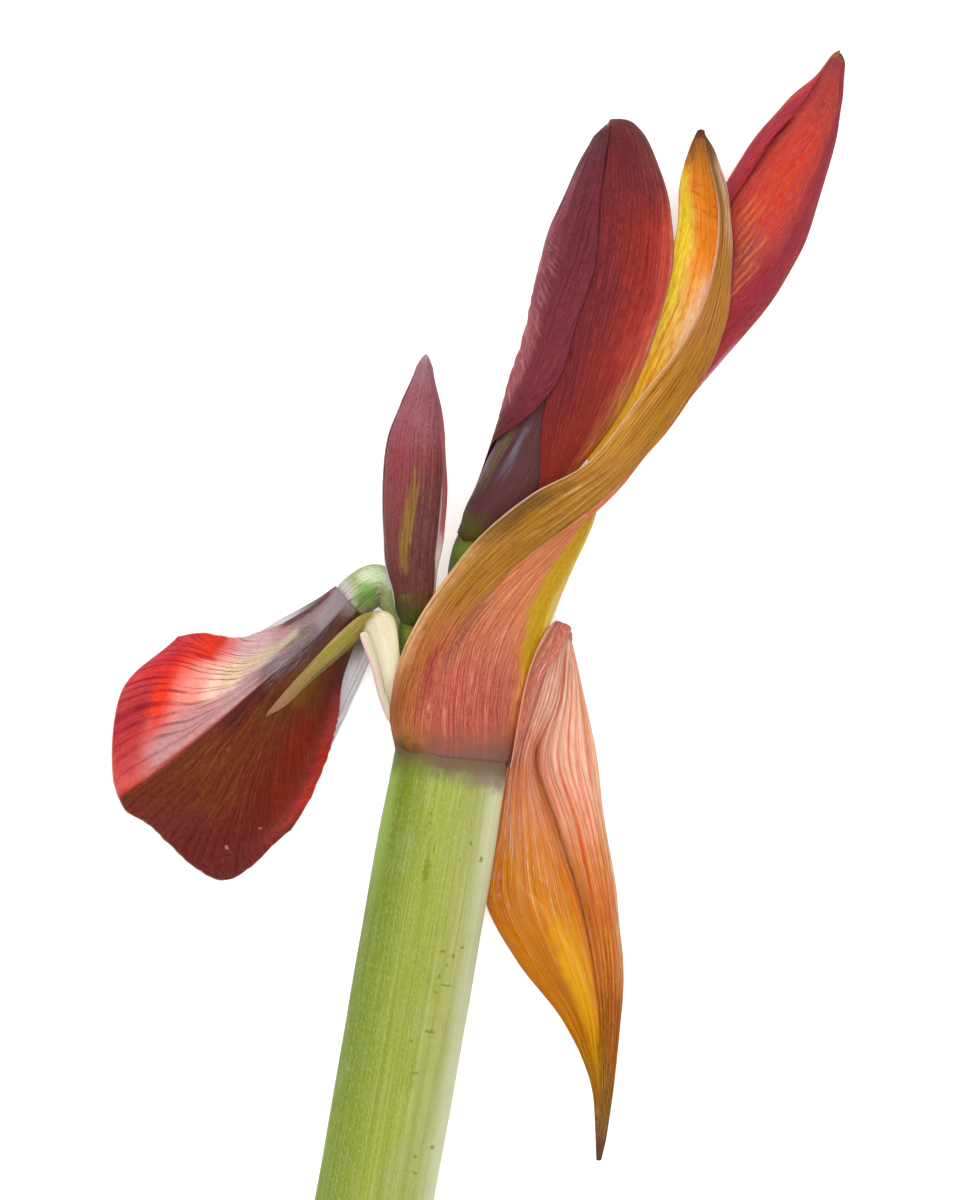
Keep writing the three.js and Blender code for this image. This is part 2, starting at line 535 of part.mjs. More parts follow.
function filament(end, k) {
  const root = axisFrame(TUBE_MOUTH, 0.5);
  const angle = (360 * k) / (FILAMENT_ENDS.length - 1);
  const style = k === FILAMENT_ENDS.length - 1;
  const start = style ? root.place.clone() : onRing(root, FILAMENT_RING, 90 - angle);
  const finish = new THREE.Vector3(...end);
  const anther = style ? STIGMA_RADIUS : ANTHER_RADIUS;
  const at = (t, sag, radius) => {
    const place = start.clone().lerp(finish, t);
    return [place.x, place.y, place.z - sag, radius];
  };
  const axis = [
    at(-0.02, 0, FILAMENT_RADIUS), at(0.3, FILAMENT_SAG, FILAMENT_RADIUS),
    at(0.6, FILAMENT_SAG, FILAMENT_RADIUS), at(0.9, 0, FILAMENT_RADIUS),
    at(0.95, 0, anther), at(1, 0, FILAMENT_TIP),
  ];
  return stalk(axis, ...FILAMENT_STEPS);
}

function addDroopingFlower() {
  for (const [name, stations] of Object.entries(DROOPING_TEPALS)) {
    const front = name === "outer_tepal_1";
    const grid = blade(stations, ...(front ? KEELED_STEPS : DROOPING_STEPS));
    const color = name.startsWith("inner") || front ? FLOWER_RED : FLOWER_PALE;
    addPiece(head, `drooping_flower_${name}`, thicken(grid, TEPAL_THICKNESS), color, 0.4);
  }
  const pieces = [stalk(DROOPING_STALK, ...DROOPING_STALK_STEPS), ...FILAMENT_ENDS.map(filament)];
  addPiece(head, "drooping_flower_stalk", joined(pieces), OVARY_GREEN, 0.4);
}

addDroopingFlower();

// The origin is under the middle of the part, on the surface it lies on.
const bounds = new THREE.Box3().setFromObject(amaryllis, true);
const middle = bounds.getCenter(new THREE.Vector3());
amaryllis.position.set(-middle.x, -middle.y, -bounds.min.z);

export default amaryllis;
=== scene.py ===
# %% [markdown]
# An amaryllis, cut and laid down
#
# The object is the head of a cut amaryllis on a piece of its hollow scape: two papery spathe
# valves that sheathed the young buds, three buds, and one flower that has begun to droop and open.
# The packed solids come first, as the fixed frame. Every piece below replaces one of them and
# keeps its form, with the veins, folds and colours of living tissue.

# %% Load the frame
import json
import math
import bpy
import numpy as np
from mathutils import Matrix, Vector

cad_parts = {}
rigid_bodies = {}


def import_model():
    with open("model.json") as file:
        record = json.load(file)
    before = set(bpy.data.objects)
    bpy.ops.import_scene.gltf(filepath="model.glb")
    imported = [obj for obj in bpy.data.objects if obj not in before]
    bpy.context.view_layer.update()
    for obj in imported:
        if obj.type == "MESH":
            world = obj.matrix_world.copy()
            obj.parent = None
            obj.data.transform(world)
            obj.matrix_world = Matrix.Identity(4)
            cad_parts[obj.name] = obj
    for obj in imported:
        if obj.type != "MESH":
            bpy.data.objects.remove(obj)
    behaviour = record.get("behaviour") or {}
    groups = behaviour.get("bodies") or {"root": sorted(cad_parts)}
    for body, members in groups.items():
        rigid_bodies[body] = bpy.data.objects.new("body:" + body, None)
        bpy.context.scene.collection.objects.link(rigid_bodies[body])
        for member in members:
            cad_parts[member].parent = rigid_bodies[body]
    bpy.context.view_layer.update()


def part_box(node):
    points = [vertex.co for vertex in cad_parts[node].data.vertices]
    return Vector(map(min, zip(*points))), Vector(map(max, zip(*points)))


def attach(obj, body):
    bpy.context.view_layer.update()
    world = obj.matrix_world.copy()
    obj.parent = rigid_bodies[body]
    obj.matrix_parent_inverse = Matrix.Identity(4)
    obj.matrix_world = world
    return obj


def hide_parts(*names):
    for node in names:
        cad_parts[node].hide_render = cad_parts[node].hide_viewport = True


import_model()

# %% [markdown]
# Where the head is
#
# The flower leans on its scape as seen from overhead. It is simplest to lay the head out as the
# eye sees it, in millimetres across, up and above the surface, with its zero in the middle of
# the collar, and then to turn all of it by the lean, so that the scape lies straight.

# %% Turn the head's millimetres into the frame's metres
MM = 0.001
LEAN = math.radians(9.9)
STEM_LENGTH = 230
STEM_SHIFT = -0.4
STEM_HEIGHT = 12.1
STEM_FLATTENING = 0.94

scape_low, scape_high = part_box("scape")
COLLAR = np.array([
    (scape_low.x + scape_high.x) / 2 / MM - STEM_SHIFT,
    scape_low.y / MM + STEM_LENGTH,
    0,
])


def turned(points, angle):
    """Points turned round the upright axis through the collar."""
    points = np.asarray(points, float)
    x = points[..., 0] * math.cos(angle) - points[..., 1] * math.sin(angle)
    y = points[..., 0] * math.sin(angle) + points[..., 1] * math.cos(angle)
    return np.stack([x, y, points[..., 2]], -1)


def in_frame(points):
    """The head's points in metres, in the frame that all pieces share."""
    return (turned(points, LEAN) + COLLAR) * MM


def beside_scape(x, y, z):
    """A point counted along the straight scape, as the leaning head counts it."""
    return turned([x, y, z], -LEAN).tolist()


print("collar at", COLLAR.round(1), "mm")

# %% [markdown]
# Surfaces through guide lines
#
# A petal is a sheet that is fixed by a few lines across it. A smooth patch through those lines
# could be a NURBS surface, but a Catmull-Rom patch passes exactly through its guide points, which
# makes each number in the tables below a real place on the petal.

# %% Curves and patches through points
def ease(x, low, high):
    """Rises smoothly from 0 at low to 1 at high, or falls where high is the smaller."""
    t = np.clip((np.asarray(x, float) - low) / (high - low), 0, 1)
    return t * t * (3 - 2 * t)


def bump(x, middle, reach):
    """A smooth hump: 1 at the middle and 0 a reach away from it."""
    return ease(np.abs(x - middle), reach, 0)


def blend_weights(share):
    """The weights of the four points round a place that lies a share of the way between two."""
    w = share[..., None]
    powers = np.concatenate([w**0, w, w**2, w**3], -1)
    basis = np.array([[0, 2, 0, 0], [-1, 0, 1, 0], [2, -5, 4, -1], [-1, 3, -3, 1]]) / 2
    return powers @ basis


def spans(u, count):
    """For each u from 0 to 1: the first of its four points, and the weights of all four."""
    along = np.clip(u, 0, 1) * count
    first = np.minimum(along.astype(int), count - 1)
    return first, blend_weights(along - first)


def extended(points, axis=0):
    """A row of points with one more at each end, in a straight line with the last two."""
    points = np.moveaxis(np.asarray(points, float), axis, 0)
    ends = [2 * points[:1] - points[1:2], points, 2 * points[-1:] - points[-2:-1]]
    return np.moveaxis(np.concatenate(ends), 0, axis)


def curve(points, u):
    """The value at u along a curve through the points: four of them times their weights."""
    rows = extended(points)
    first, weights = spans(np.asarray(u, float), len(rows) - 3)
    near = rows[first[..., None] + np.arange(4)]
    return np.einsum("...k,...kc->...c", weights, near)


def patch(stations, u, v):
    """The surface point at u along and v across: sixteen guide points times their weights."""
    net = extended(extended(stations), 1)
    row, row_weights = spans(u, net.shape[0] - 3)
    column, column_weights = spans(v, net.shape[1] - 3)
    four = np.arange(4)
    near = net[row[..., None, None] + four[:, None], column[..., None, None] + four]
    return np.einsum("...a,...b,...abc->...c", row_weights, column_weights, near)


def grid(rows, columns):
    """Two arrays, u along and v across, for a surface of so many rows and columns."""
    return np.meshgrid(np.linspace(0, 1, rows), np.linspace(0, 1, columns), indexing="ij")


def waves(x, y, seed, count=7):
    """Gentle lumps from -1 to 1 or so: a sum of sine waves whose directions are drawn by a seed."""
    draw = np.random.default_rng(seed)
    total = np.zeros(np.broadcast(x, y).shape)
    for turn, pitch, phase in zip(draw.uniform(0, 2 * math.pi, count), draw.uniform(0.6, 1.5, count),
                                  draw.uniform(0, 2 * math.pi, count)):
        total += np.sin(2 * math.pi * pitch * (x * math.cos(turn) + y * math.sin(turn)) + phase)
    return total / math.sqrt(count)


print("a curve through 0, 1, 4 at its middle:", curve([[0], [1], [4]], 0.5))

# %% [markdown]
# From a sheet to living tissue
#
# A petal has two faces and a rim, and it thins out towards its edge. Blender's Solidify modifier
# could give it a thickness, but only an even one. So each sheet gets its two faces here, a little
# apart along its normals, and the mesh keeps what the materials need to know of each point: how
# far along and across it lies, which face it is on, and how far it is from the edge.

# %% Make a piece from a sheet
EDGE_ZONE = 2.6
EDGE_THINNING = 0.4
FAR_FROM_EDGE = 9.0
SMALLEST_LENGTH = 1e-9


def unit(vectors):
    """Vectors divided by their length, and so brought to length 1."""
    return vectors / np.maximum(np.linalg.norm(vectors, axis=-1, keepdims=True), SMALLEST_LENGTH)


def sheet_normals(points):
    """The direction square to a sheet: across it times along it."""
    return unit(np.cross(np.gradient(points, axis=1), np.gradient(points, axis=0)))


def edge_distance(points):
    """How many millimetres each point is from the nearest side or end."""
    across = np.linalg.norm(np.diff(points, axis=1, prepend=points[:, :1]), axis=2).cumsum(1)
    along = np.linalg.norm(np.diff(points, axis=0, prepend=points[:1]), axis=2).cumsum(0)
    return np.minimum(np.minimum(across, across[:, -1:] - across), np.minimum(along, along[-1:] - along))


def corner_places(places, corners, starts):
    """The place of every corner of every face. A face over a tube's seam counts on past 1 across."""
    at = places[corners]
    width = np.maximum.reduceat(at[:, 1], starts) - np.minimum.reduceat(at[:, 1], starts)
    sizes = np.diff(np.append(starts, len(corners)))
    at[:, 1] += np.repeat(width > 0.5, sizes) & (at[:, 1] < 0.5)
    return at


def add_piece(name, vertices, faces, material, node, fields):
    """A mesh object in the frame's metres that rides on the root and replaces a solid."""
    mesh = bpy.data.meshes.new(name)
    mesh.from_pydata(vertices.tolist(), [], faces)
    corners = np.zeros(len(mesh.loops), np.int32)
    mesh.loops.foreach_get("vertex_index", corners)
    starts = np.zeros(len(mesh.polygons), np.int32)
    mesh.polygons.foreach_get("loop_start", starts)
    layer = mesh.uv_layers.new(name="along_across")
    places = corner_places(fields.pop("uv"), corners, starts)
    layer.data.foreach_set("uv", places.astype(np.float32).ravel())
    for field, values in fields.items():
        attribute = mesh.attributes.new(field, "FLOAT", "POINT")
        attribute.data.foreach_set("value", values.astype(np.float32))
    mesh.shade_smooth()
    mesh.materials.append(material)
    piece = bpy.data.objects.new(name, mesh)
    bpy.context.scene.collection.objects.link(piece)
    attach(piece, "root")
    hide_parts(node)
    return piece


def sheet_faces(rows, columns):
    """Quads of two sheets, back to back, and of the rim that joins them."""
    ids = np.arange(rows * columns).reshape(rows, columns)
    far = ids + rows * columns
    front = [ids[:-1, :-1], ids[:-1, 1:], ids[1:, 1:], ids[1:, :-1]]
    back = [far[:-1, :-1], far[1:, :-1], far[1:, 1:], far[:-1, 1:]]
    quads = [np.stack([c.ravel() for c in side], 1) for side in (front, back)]
    for a, b in ((ids[0, :-1], ids[0, 1:]), (ids[-1, 1:], ids[-1, :-1]),
                 (ids[1:, 0], ids[:-1, 0]), (ids[:-1, -1], ids[1:, -1])):
        quads.append(np.stack([b, a, a + rows * columns, b + rows * columns], 1))
    return np.concatenate(quads).tolist()


def add_blade(node, points, thickness, material):
    """Both faces of a sheet: its points moved half the local thickness to either side."""
    rows, columns = points.shape[:2]
    edge = edge_distance(points)
    local = thickness * (EDGE_THINNING + (1 - EDGE_THINNING) * ease(edge, 0, EDGE_ZONE))
    half = sheet_normals(points) * local[..., None] / 2
    sides = np.stack([points + half, points - half])
    sides[..., 2] -= np.minimum(sides[..., 2].min(0), 0)
    fields = {
        "uv": np.tile(np.stack(grid(rows, columns), -1).reshape(-1, 2), (2, 1)),
        "inside": np.repeat([0.0, 1.0], rows * columns),
        "edge": np.tile(edge.ravel(), 2),
    }
    vertices = in_frame(sides).reshape(-1, 3)
    return add_piece(f"{node}_blade", vertices, sheet_faces(rows, columns), material, node, fields)


def tube_faces(rings, sides, first_pole, last_pole):
    """Quads between rings of points, and triangles from the end rings to the two poles."""
    ids = np.arange(rings * sides).reshape(rings, sides)
    nxt = np.roll(ids, -1, axis=1)
    quads = np.stack([ids[:-1], nxt[:-1], nxt[1:], ids[1:]], -1).reshape(-1, 4).tolist()
    starts = [[first_pole, b, a] for a, b in zip(ids[0].tolist(), nxt[0].tolist())]
    ends = [[last_pole, a, b] for a, b in zip(ids[-1].tolist(), nxt[-1].tolist())]
    return quads + starts + ends


print("a sheet of 3 by 3 points has", len(sheet_faces(3, 3)), "faces")

# %% [markdown]
# Paint for plant tissue
#
# Petal colour is laid down in washes: a ground colour, a darker foot, a bright edge, and veins over
# all of it. The materials are written in that order. Each wash is a colour and a mask, and each
# mask is worked out from the place along and across the blade, so the marks follow the petal
# however it curls. A painted image could hold the same marks, but it would have one fixed sharpness
# and would need unwrapping.

# %% Helpers that build node trees
def tone(text):
    """A colour from a paint chart, as two hexadecimal digits each, made linear for the shader."""
    shares = [int(text[k:k + 2], 16) / 255 for k in (1, 3, 5)]
    return [s / 12.92 if s <= 0.04045 else ((s + 0.055) / 1.055) ** 2.4 for s in shares] + [1]


def feed(tree, socket, value):
    """Links a socket to another one, or sets its plain value."""
    if isinstance(value, bpy.types.NodeSocket):
        tree.links.new(value, socket)
    else:
        socket.default_value = value


def add_node(tree, kind, inputs, **settings):
    """One node with its settings and its inputs, which are given by name or number."""
    node = tree.nodes.new(kind)
    for key, value in settings.items():
        setattr(node, key, value)
    for key, value in inputs.items():
        feed(tree, node.inputs[key], value)
    return node


def calc(tree, operation, *values):
    """One Math node."""
    return add_node(tree, "ShaderNodeMath", dict(enumerate(values)), operation=operation).outputs[0]


def smooth(tree, value, low, high, start=0.0, end=1.0):
    """A Map Range node that eases from start to end as the value goes from low to high."""
    inputs = {"Value": value, "From Min": low, "From Max": high, "To Min": start, "To Max": end}
    node = add_node(tree, "ShaderNodeMapRange", inputs, interpolation_type="SMOOTHSTEP")
    return node.outputs["Result"]


def noise(tree, vector, scale, detail=2.0, roughness=0.5):
    """The value of a Noise Texture."""
    inputs = {"Vector": vector, "Scale": scale, "Detail": detail, "Roughness": roughness}
    return add_node(tree, "ShaderNodeTexNoise", inputs).outputs[0]


def vector(tree, x, y, z=0.0):
    """Three values as one vector."""
    return add_node(tree, "ShaderNodeCombineXYZ", {0: x, 1: y, 2: z}).outputs[0]


def new_group(name, inputs, outputs):
    """An empty node group with float sockets, and its input and output nodes."""
    tree = bpy.data.node_groups.new(name, "ShaderNodeTree")
    for label, value in inputs.items():
        socket = tree.interface.new_socket(label, in_out="INPUT", socket_type="NodeSocketFloat")
        socket.default_value = value
    for label in outputs:
        tree.interface.new_socket(label, in_out="OUTPUT", socket_type="NodeSocketFloat")
    return tree, tree.nodes.new("NodeGroupInput").outputs, tree.nodes.new("NodeGroupOutput").inputs


print("salmon is", [round(c, 3) for c in tone("#d4785c")[:3]])

# %% [markdown]
# Veins, fans and skin
#
# Three effects come back in nearly every piece. Veins run side by side, wander a little and fade
# in and out. In a tepal they fan out from the midrib and leave over the edge. And all skin has a
# fine mottle from its cells. Each is a node group, so every material can set its own count and
# wander.

# %% Build the shared groups
def veins_group():
    """Lines at an uneven pitch across and finer ones between them, pushed about and broken by noise."""
    tree, given, out = new_group(
        "Veins", {"Across": 0, "Along": 0, "Count": 24, "Wander": 0.05, "Seed": 0},
        ["Veins", "Hairs", "Streaks", "Dashes"])
    across, along, count, wander, seed = given[:5]
    place = vector(tree, calc(tree, "MULTIPLY", across, 5), calc(tree, "MULTIPLY", along, 3), seed)
    slow = noise(tree, place, 1)
    push = calc(tree, "MULTIPLY", calc(tree, "SUBTRACT", slow, 0.5), wander)
    even = calc(tree, "MULTIPLY", calc(tree, "ADD", across, push), count)
    place = vector(tree, calc(tree, "MULTIPLY", even, 0.6), calc(tree, "MULTIPLY", along, 2), seed)
    uneven = calc(tree, "SUBTRACT", noise(tree, place, 1, 1), 0.5)
    lines = calc(tree, "MULTIPLY_ADD", uneven, 2.2, even)
    for label, pitch, sharp, stretch, low, high in (
            ("Veins", 1, 0.3, 6, 0.32, 0.66), ("Hairs", 3, 0.0, 14, 0.34, 0.66)):
        wave = calc(tree, "COSINE", calc(tree, "MULTIPLY", lines, 2 * math.pi * pitch))
        broken = noise(tree, vector(tree, lines, calc(tree, "MULTIPLY", along, stretch), seed), 1, 3, 0.6)
        crest = smooth(tree, wave, sharp, 1.0)
        feed(tree, out[label], calc(tree, "MULTIPLY", crest, smooth(tree, broken, low, high)))
    for label, pitch, stretch in (("Streaks", 1.7, 8), ("Dashes", 4.5, 55)):
        place = vector(tree, calc(tree, "MULTIPLY", lines, pitch),
                       calc(tree, "MULTIPLY", along, stretch), seed)
        feed(tree, out[label], smooth(tree, noise(tree, place, 1, 3, 0.62), 0.38, 0.66))
    return tree


def fan_group():
    """Across, bent so that a vein that starts near the midrib reaches the edge further on."""
    tree, given, out = new_group(
        "Fan", {"Across": 0, "Along": 0, "Midrib": 0.5, "Spread": 1.5, "Power": 1}, ["Across"])
    across, along, midrib, spread, power = given[:5]
    widening = calc(tree, "POWER", calc(tree, "MULTIPLY_ADD", along, spread, 1), power)
    feed(tree, out["Across"], calc(tree, "DIVIDE", calc(tree, "SUBTRACT", across, midrib), widening))
    return tree


def skin_group():
    """Mottle a few millimetres wide, and grain of the size of cells, from the place in the object."""
    tree, given, out = new_group("Skin", {"Size": 1}, ["Mottle", "Sway", "Grain"])
    place = add_node(tree, "ShaderNodeTexCoord", {}).outputs["Object"]
    for label, pitch, detail in (("Mottle", 260, 4), ("Sway", 130, 3), ("Grain", 2100, 2)):
        lumps = noise(tree, place, calc(tree, "DIVIDE", pitch, given[0]), detail, 0.6)
        feed(tree, out[label], smooth(tree, lumps, 0.3, 0.7))
    return tree


VEINS = veins_group()
FAN = fan_group()
SKIN = skin_group()
print("groups:", [group.name for group in bpy.data.node_groups])


# %% Masks from the place on a piece
LINE_END = 0.015


class Masks:
    """Soft shapes on a piece, as sockets. A plain share from 0 to 1 can stand in for any of them."""

    def __init__(self, tree, sway):
        """The places along and across the piece, and the same places swayed by noise."""
        self.tree = tree
        place = add_node(self.tree, "ShaderNodeUVMap", {}, uv_map="along_across").outputs[0]
        self.u, self.v = add_node(self.tree, "ShaderNodeSeparateXYZ", {0: place}).outputs[:2]
        self.inside = self.field("inside")
        self.edge = self.field("edge")
        skin = add_node(self.tree, "ShaderNodeGroup", {}, node_tree=SKIN)
        self.mottle, sway_noise, self.grain = skin.outputs[:3]
        self.soft_u = self.swayed(self.u, self.mottle, sway / 2)
        self.soft_v = self.swayed(self.v, sway_noise, sway)

    def swayed(self, value, cloud, reach):
        """A place pushed to either side by noise, so that no mark has a ruled edge."""
        return calc(self.tree, "MULTIPLY_ADD", calc(self.tree, "SUBTRACT", cloud, 0.5), reach, value)

    def field(self, name):
        """A number that the mesh keeps for each of its points."""
        return add_node(self.tree, "ShaderNodeAttribute", {}, attribute_name=name).outputs["Fac"]

    def along(self, low, high):
        """A mask that rises lengthwise from low to high, or falls where high is the smaller."""
        return smooth(self.tree, self.soft_u, low, high)

    def across(self, low, high):
        """The same crosswise."""
        return smooth(self.tree, self.soft_v, low, high)

    def near_edge(self, reach):
        """A rim: full at the edge and gone a reach of millimetres inside it."""
        return smooth(self.tree, self.edge, reach, 0)

    def times(self, *masks):
        """All masks multiplied: strong only where each of them is."""
        result = masks[0]
        for mask in masks[1:]:
            result = calc(self.tree, "MULTIPLY", result, mask)
        return result

    def opposite(self, mask):
        """One less the mask."""
        return calc(self.tree, "SUBTRACT", 1, mask)

    def off(self, value, middle, reach):
        """The square of the distance from a middle, in reaches."""
        share = calc(self.tree, "DIVIDE", calc(self.tree, "SUBTRACT", value, middle), reach)
        return calc(self.tree, "MULTIPLY", share, share)

    def spot(self, u, v, reach_u, reach_v):
        """A soft oval: full in its middle, and gone where the two squared distances add up to 1."""
        square = calc(self.tree, "ADD", self.off(self.soft_u, u, reach_u), self.off(self.soft_v, v, reach_v))
        return smooth(self.tree, square, 1, 0)

    def area(self, start, end, left=0.0, right=1.0, soft=0.06):
        """A soft box from start to end along, and from left to right across."""
        masks = []
        for value, low, high in ((self.soft_u, start, end), (self.soft_v, left, right)):
            if low > 0:
                masks.append(smooth(self.tree, value, low - soft, low + soft))
            if high < 1:
                masks.append(smooth(self.tree, value, high + soft, high - soft))
        return self.times(*masks)

    def course(self, points):
        """The v of a line through places of u and v: the first v, and each step to the next, eased."""
        across = points[0][1]
        for (u0, v0), (u1, v1) in zip(points[:-1], points[1:]):
            across = calc(self.tree, "ADD", smooth(self.tree, self.u, u0, u1, 0, v1 - v0), across)
        return across

    def past(self, points, soft=0.01):
        """All that lies across from a line: v less the line's v, eased from 0 to 1 about 0."""
        return smooth(self.tree, calc(self.tree, "SUBTRACT", self.v, self.course(points)), -soft, soft)

    def line(self, points, reach):
        """A thin line along the blade: near its course across, and between its two ends."""
        near = smooth(self.tree, self.off(self.v, self.course(points), reach), 1, 0)
        start, end = points[0][0], points[-1][0]
        ends = smooth(self.tree, self.u, start - LINE_END, start + LINE_END)
        return self.times(near, ends, smooth(self.tree, self.u, end + LINE_END, end - LINE_END))


print("masks:", [name for name in vars(Masks) if name[0] != "_"])

# %% A painter for materials
BRIGHTEST = 0.95
SHEEN_SPREAD = 0.07
GRAIN_HEIGHT = 0.2
RELIEF_STRENGTH = 0.7


class Paint(Masks):
    """A material built up in washes, each through masks. Colours are texts."""

    def __init__(self, name, ground, sway=0.05):
        """A new material that has its ground colour and no relief."""
        self.material = bpy.data.materials.new(name)
        self.material.use_nodes = True
        self.material.node_tree.nodes.clear()
        super().__init__(self.material.node_tree, sway)
        self.colour = tone(ground)
        self.height = None

    def wash(self, colour, *masks, kind="MIX"):
        """Lays a colour over what is there, where all the masks are strong."""
        inputs = {0: self.times(*masks), 6: self.colour, 7: tone(colour)}
        mix = add_node(self.tree, "ShaderNodeMix", inputs, data_type="RGBA", blend_type=kind)
        self.colour = mix.outputs[2]

    def veins(self, count, seed=0.0, midrib=None, spread=1.5, wander=0.05, power=1.0):
        """The Veins group, straight or fanned out from a midrib: its four masks."""
        across = self.v
        if midrib is not None:
            inputs = {"Across": self.v, "Along": self.u, "Midrib": midrib, "Spread": spread, "Power": power}
            across = add_node(self.tree, "ShaderNodeGroup", inputs, node_tree=FAN).outputs["Across"]
        inputs = {"Across": across, "Along": self.u, "Count": count, "Wander": wander, "Seed": seed}
        return add_node(self.tree, "ShaderNodeGroup", inputs, node_tree=VEINS).outputs[:4]

    def tissue(self, lines, dark, pale, force=1.0, where=1.0):
        """Veins that darken, hairs and a speckle of cells that are paler, and their relief."""
        veins, hairs, streaks, dashes = lines
        self.wash(pale, 0.14 * force, streaks, where)
        self.wash(pale, 0.28 * force, hairs, where)
        self.wash(pale, 0.12 * force, self.grain, where)
        self.wash(dark, 0.4 * force, veins, where, kind="MULTIPLY")
        self.wash(dark, 0.35 * force, dashes, where, kind="MULTIPLY")
        for mask, amount in ((veins, -0.12), (hairs, 0.14), (dashes, 0.14)):
            self.relief(mask, amount)

    def lift(self, red, green, blue, mask=1.0):
        """Multiplies the colour up to a cap: it gives back the light that the dark lines took, and in places
        it paints light on a part in shade.
        """
        factors = {0: self.colour, 1: (red, green, blue)}
        more = add_node(self.tree, "ShaderNodeVectorMath", factors, operation="MULTIPLY")
        limits = {0: more.outputs[0], 1: (BRIGHTEST, BRIGHTEST, BRIGHTEST)}
        capped = add_node(self.tree, "ShaderNodeVectorMath", limits, operation="MINIMUM")
        inputs = {0: mask, 6: self.colour, 7: capped.outputs[0]}
        self.colour = add_node(self.tree, "ShaderNodeMix", inputs, data_type="RGBA").outputs[2]

    def relief(self, mask, amount):
        """Adds a mask times an amount to the height that the light catches."""
        raised = calc(self.tree, "MULTIPLY", mask, amount)
        self.height = raised if self.height is None else calc(self.tree, "ADD", self.height, raised)

    def finish(self, roughness=0.5, glow=0.3, depth=0.22, shine=0.06, lit=None, light=0.0):
        """Skin that reflects, mixed with tissue that lets light through, and a painted glow where lit is
        strong.
        """
        self.relief(self.grain, GRAIN_HEIGHT)
        height = {"Height": self.height, "Distance": depth * MM, "Strength": RELIEF_STRENGTH}
        normal = add_node(self.tree, "ShaderNodeBump", height).outputs[0]
        sleek, dull = roughness - SHEEN_SPREAD, roughness + SHEEN_SPREAD
        surface = {
            "Base Color": self.colour,
            "Roughness": smooth(self.tree, self.mottle, 0, 1, sleek, dull),
            "Normal": normal,
            "Specular IOR Level": shine,
        }
        skin = add_node(self.tree, "ShaderNodeBsdfPrincipled", surface)
        # painted glow: where lit is strong, the surface gives light of its own colour, as strong as light
        # says
        if lit is not None:
            inputs = {0: lit, 6: (0, 0, 0, 1), 7: self.colour}
            painted_glow = add_node(self.tree, "ShaderNodeMix", inputs, data_type="RGBA").outputs[2]
            feed(self.tree, skin.inputs["Emission Color"], painted_glow)
            skin.inputs["Emission Strength"].default_value = light
        through = add_node(self.tree, "ShaderNodeBsdfTranslucent", {"Color": self.colour, "Normal": normal})
        mix = add_node(self.tree, "ShaderNodeMixShader", {0: glow, 1: skin.outputs[0], 2: through.outputs[0]})
        add_node(self.tree, "ShaderNodeOutputMaterial", {0: mix.outputs[0]})
        return self.material


print("the painter is ready")

# %% [markdown]
# The scape
#
# An amaryllis stalk is a thick, hollow, slightly flattened tube with a bloom on it and hundreds
# of faint lines along it. Its profile runs from the end of the bore, out over the cut end, up the
# outside to the collar and in over the plug that carries the flower stalks. A lathe would make
# it, and so does one array of profile points times one array of angles.

# %% Turn the scape's profile
STEM_RADIUS = 13.2
BORE_RADIUS = 8.6
BORE_STOP = 11
COLLAR_RADIUS = 12.75
PLUG_RADIUS = 11.3
PLUG_HEIGHT = 3
CUT_WAVE = 0.25
SCAPE_SIDES = 144
OUTSIDE = [
    [STEM_RADIUS + 0.3, -STEM_LENGTH + 0.5], [STEM_RADIUS + 0.1, -150], [STEM_RADIUS - 0.1, -96],
    [STEM_RADIUS, -60], [STEM_RADIUS + 0.1, -34], [STEM_RADIUS - 0.1, -16], [STEM_RADIUS - 0.35, -7],
    [COLLAR_RADIUS, -2.5], [COLLAR_RADIUS - 0.2, 1.2],
]
BORE_DOME = [[BORE_RADIUS - 3, -BORE_STOP - 1], [BORE_RADIUS, -BORE_STOP - 5]]
PLUG = [
    [COLLAR_RADIUS - 0.8, 1.6], [PLUG_RADIUS, PLUG_HEIGHT - 0.6], [PLUG_RADIUS - 1, PLUG_HEIGHT],
    [PLUG_RADIUS - 4, PLUG_HEIGHT + 0.1],
]
SKIN_RIBS = 31
SCARS = [
    (-1.7, -25.3, 1.1, 3.2), (7.1, -17.9, 0.4, 0.6), (9.9, -21.2, 0.5, 0.8), (5.3, -22, 0.3, 0.4),
    (-2.8, -12.9, 0.3, 0.4), (-2.6, -15.1, 0.3, 0.4), (-0.8, -20.2, 0.3, 1.5), (5.1, -42.5, 0.6, 0.6),
    (7.5, -43.2, 0.5, 0.7), (6.5, -45.4, 0.4, 0.5), (5.2, -48.1, 0.5, 0.7), (9.1, -41.1, 0.5, 0.5),
    (7.2, -49.8, 1.6, 0.3), (5.1, -51.7, 0.5, 0.5), (5.3, -60.4, 1.4, 0.6), (1.5, -63.1, 0.6, 0.5),
    (3.8, -69.9, 0.9, 0.3), (6.8, -88.2, 0.7, 0.5), (10.2, -85.9, 0.5, 0.6), (7.4, -91.9, 0.6, 0.5),
]


def scape_profile():
    """Radius and length of each ring, and which of them are in the bore or on the cut."""
    wall = [[BORE_RADIUS, y] for y in np.linspace(-BORE_STOP - 20, -STEM_LENGTH + 1, 30)]
    cut = [[r, -STEM_LENGTH + CUT_WAVE + CUT_WAVE * math.sin(3 * r)]
           for r in np.linspace(BORE_RADIUS, STEM_RADIUS, 10)]
    lengths = np.linspace(OUTSIDE[0][1], OUTSIDE[-1][1], 150)
    outer = np.stack([np.interp(lengths, *np.array(OUTSIDE)[:, ::-1].T), lengths], 1).tolist()
    hollow = BORE_DOME + wall + cut
    profile = np.array(hollow + outer + PLUG)
    return profile, np.arange(len(profile)) < len(hollow)


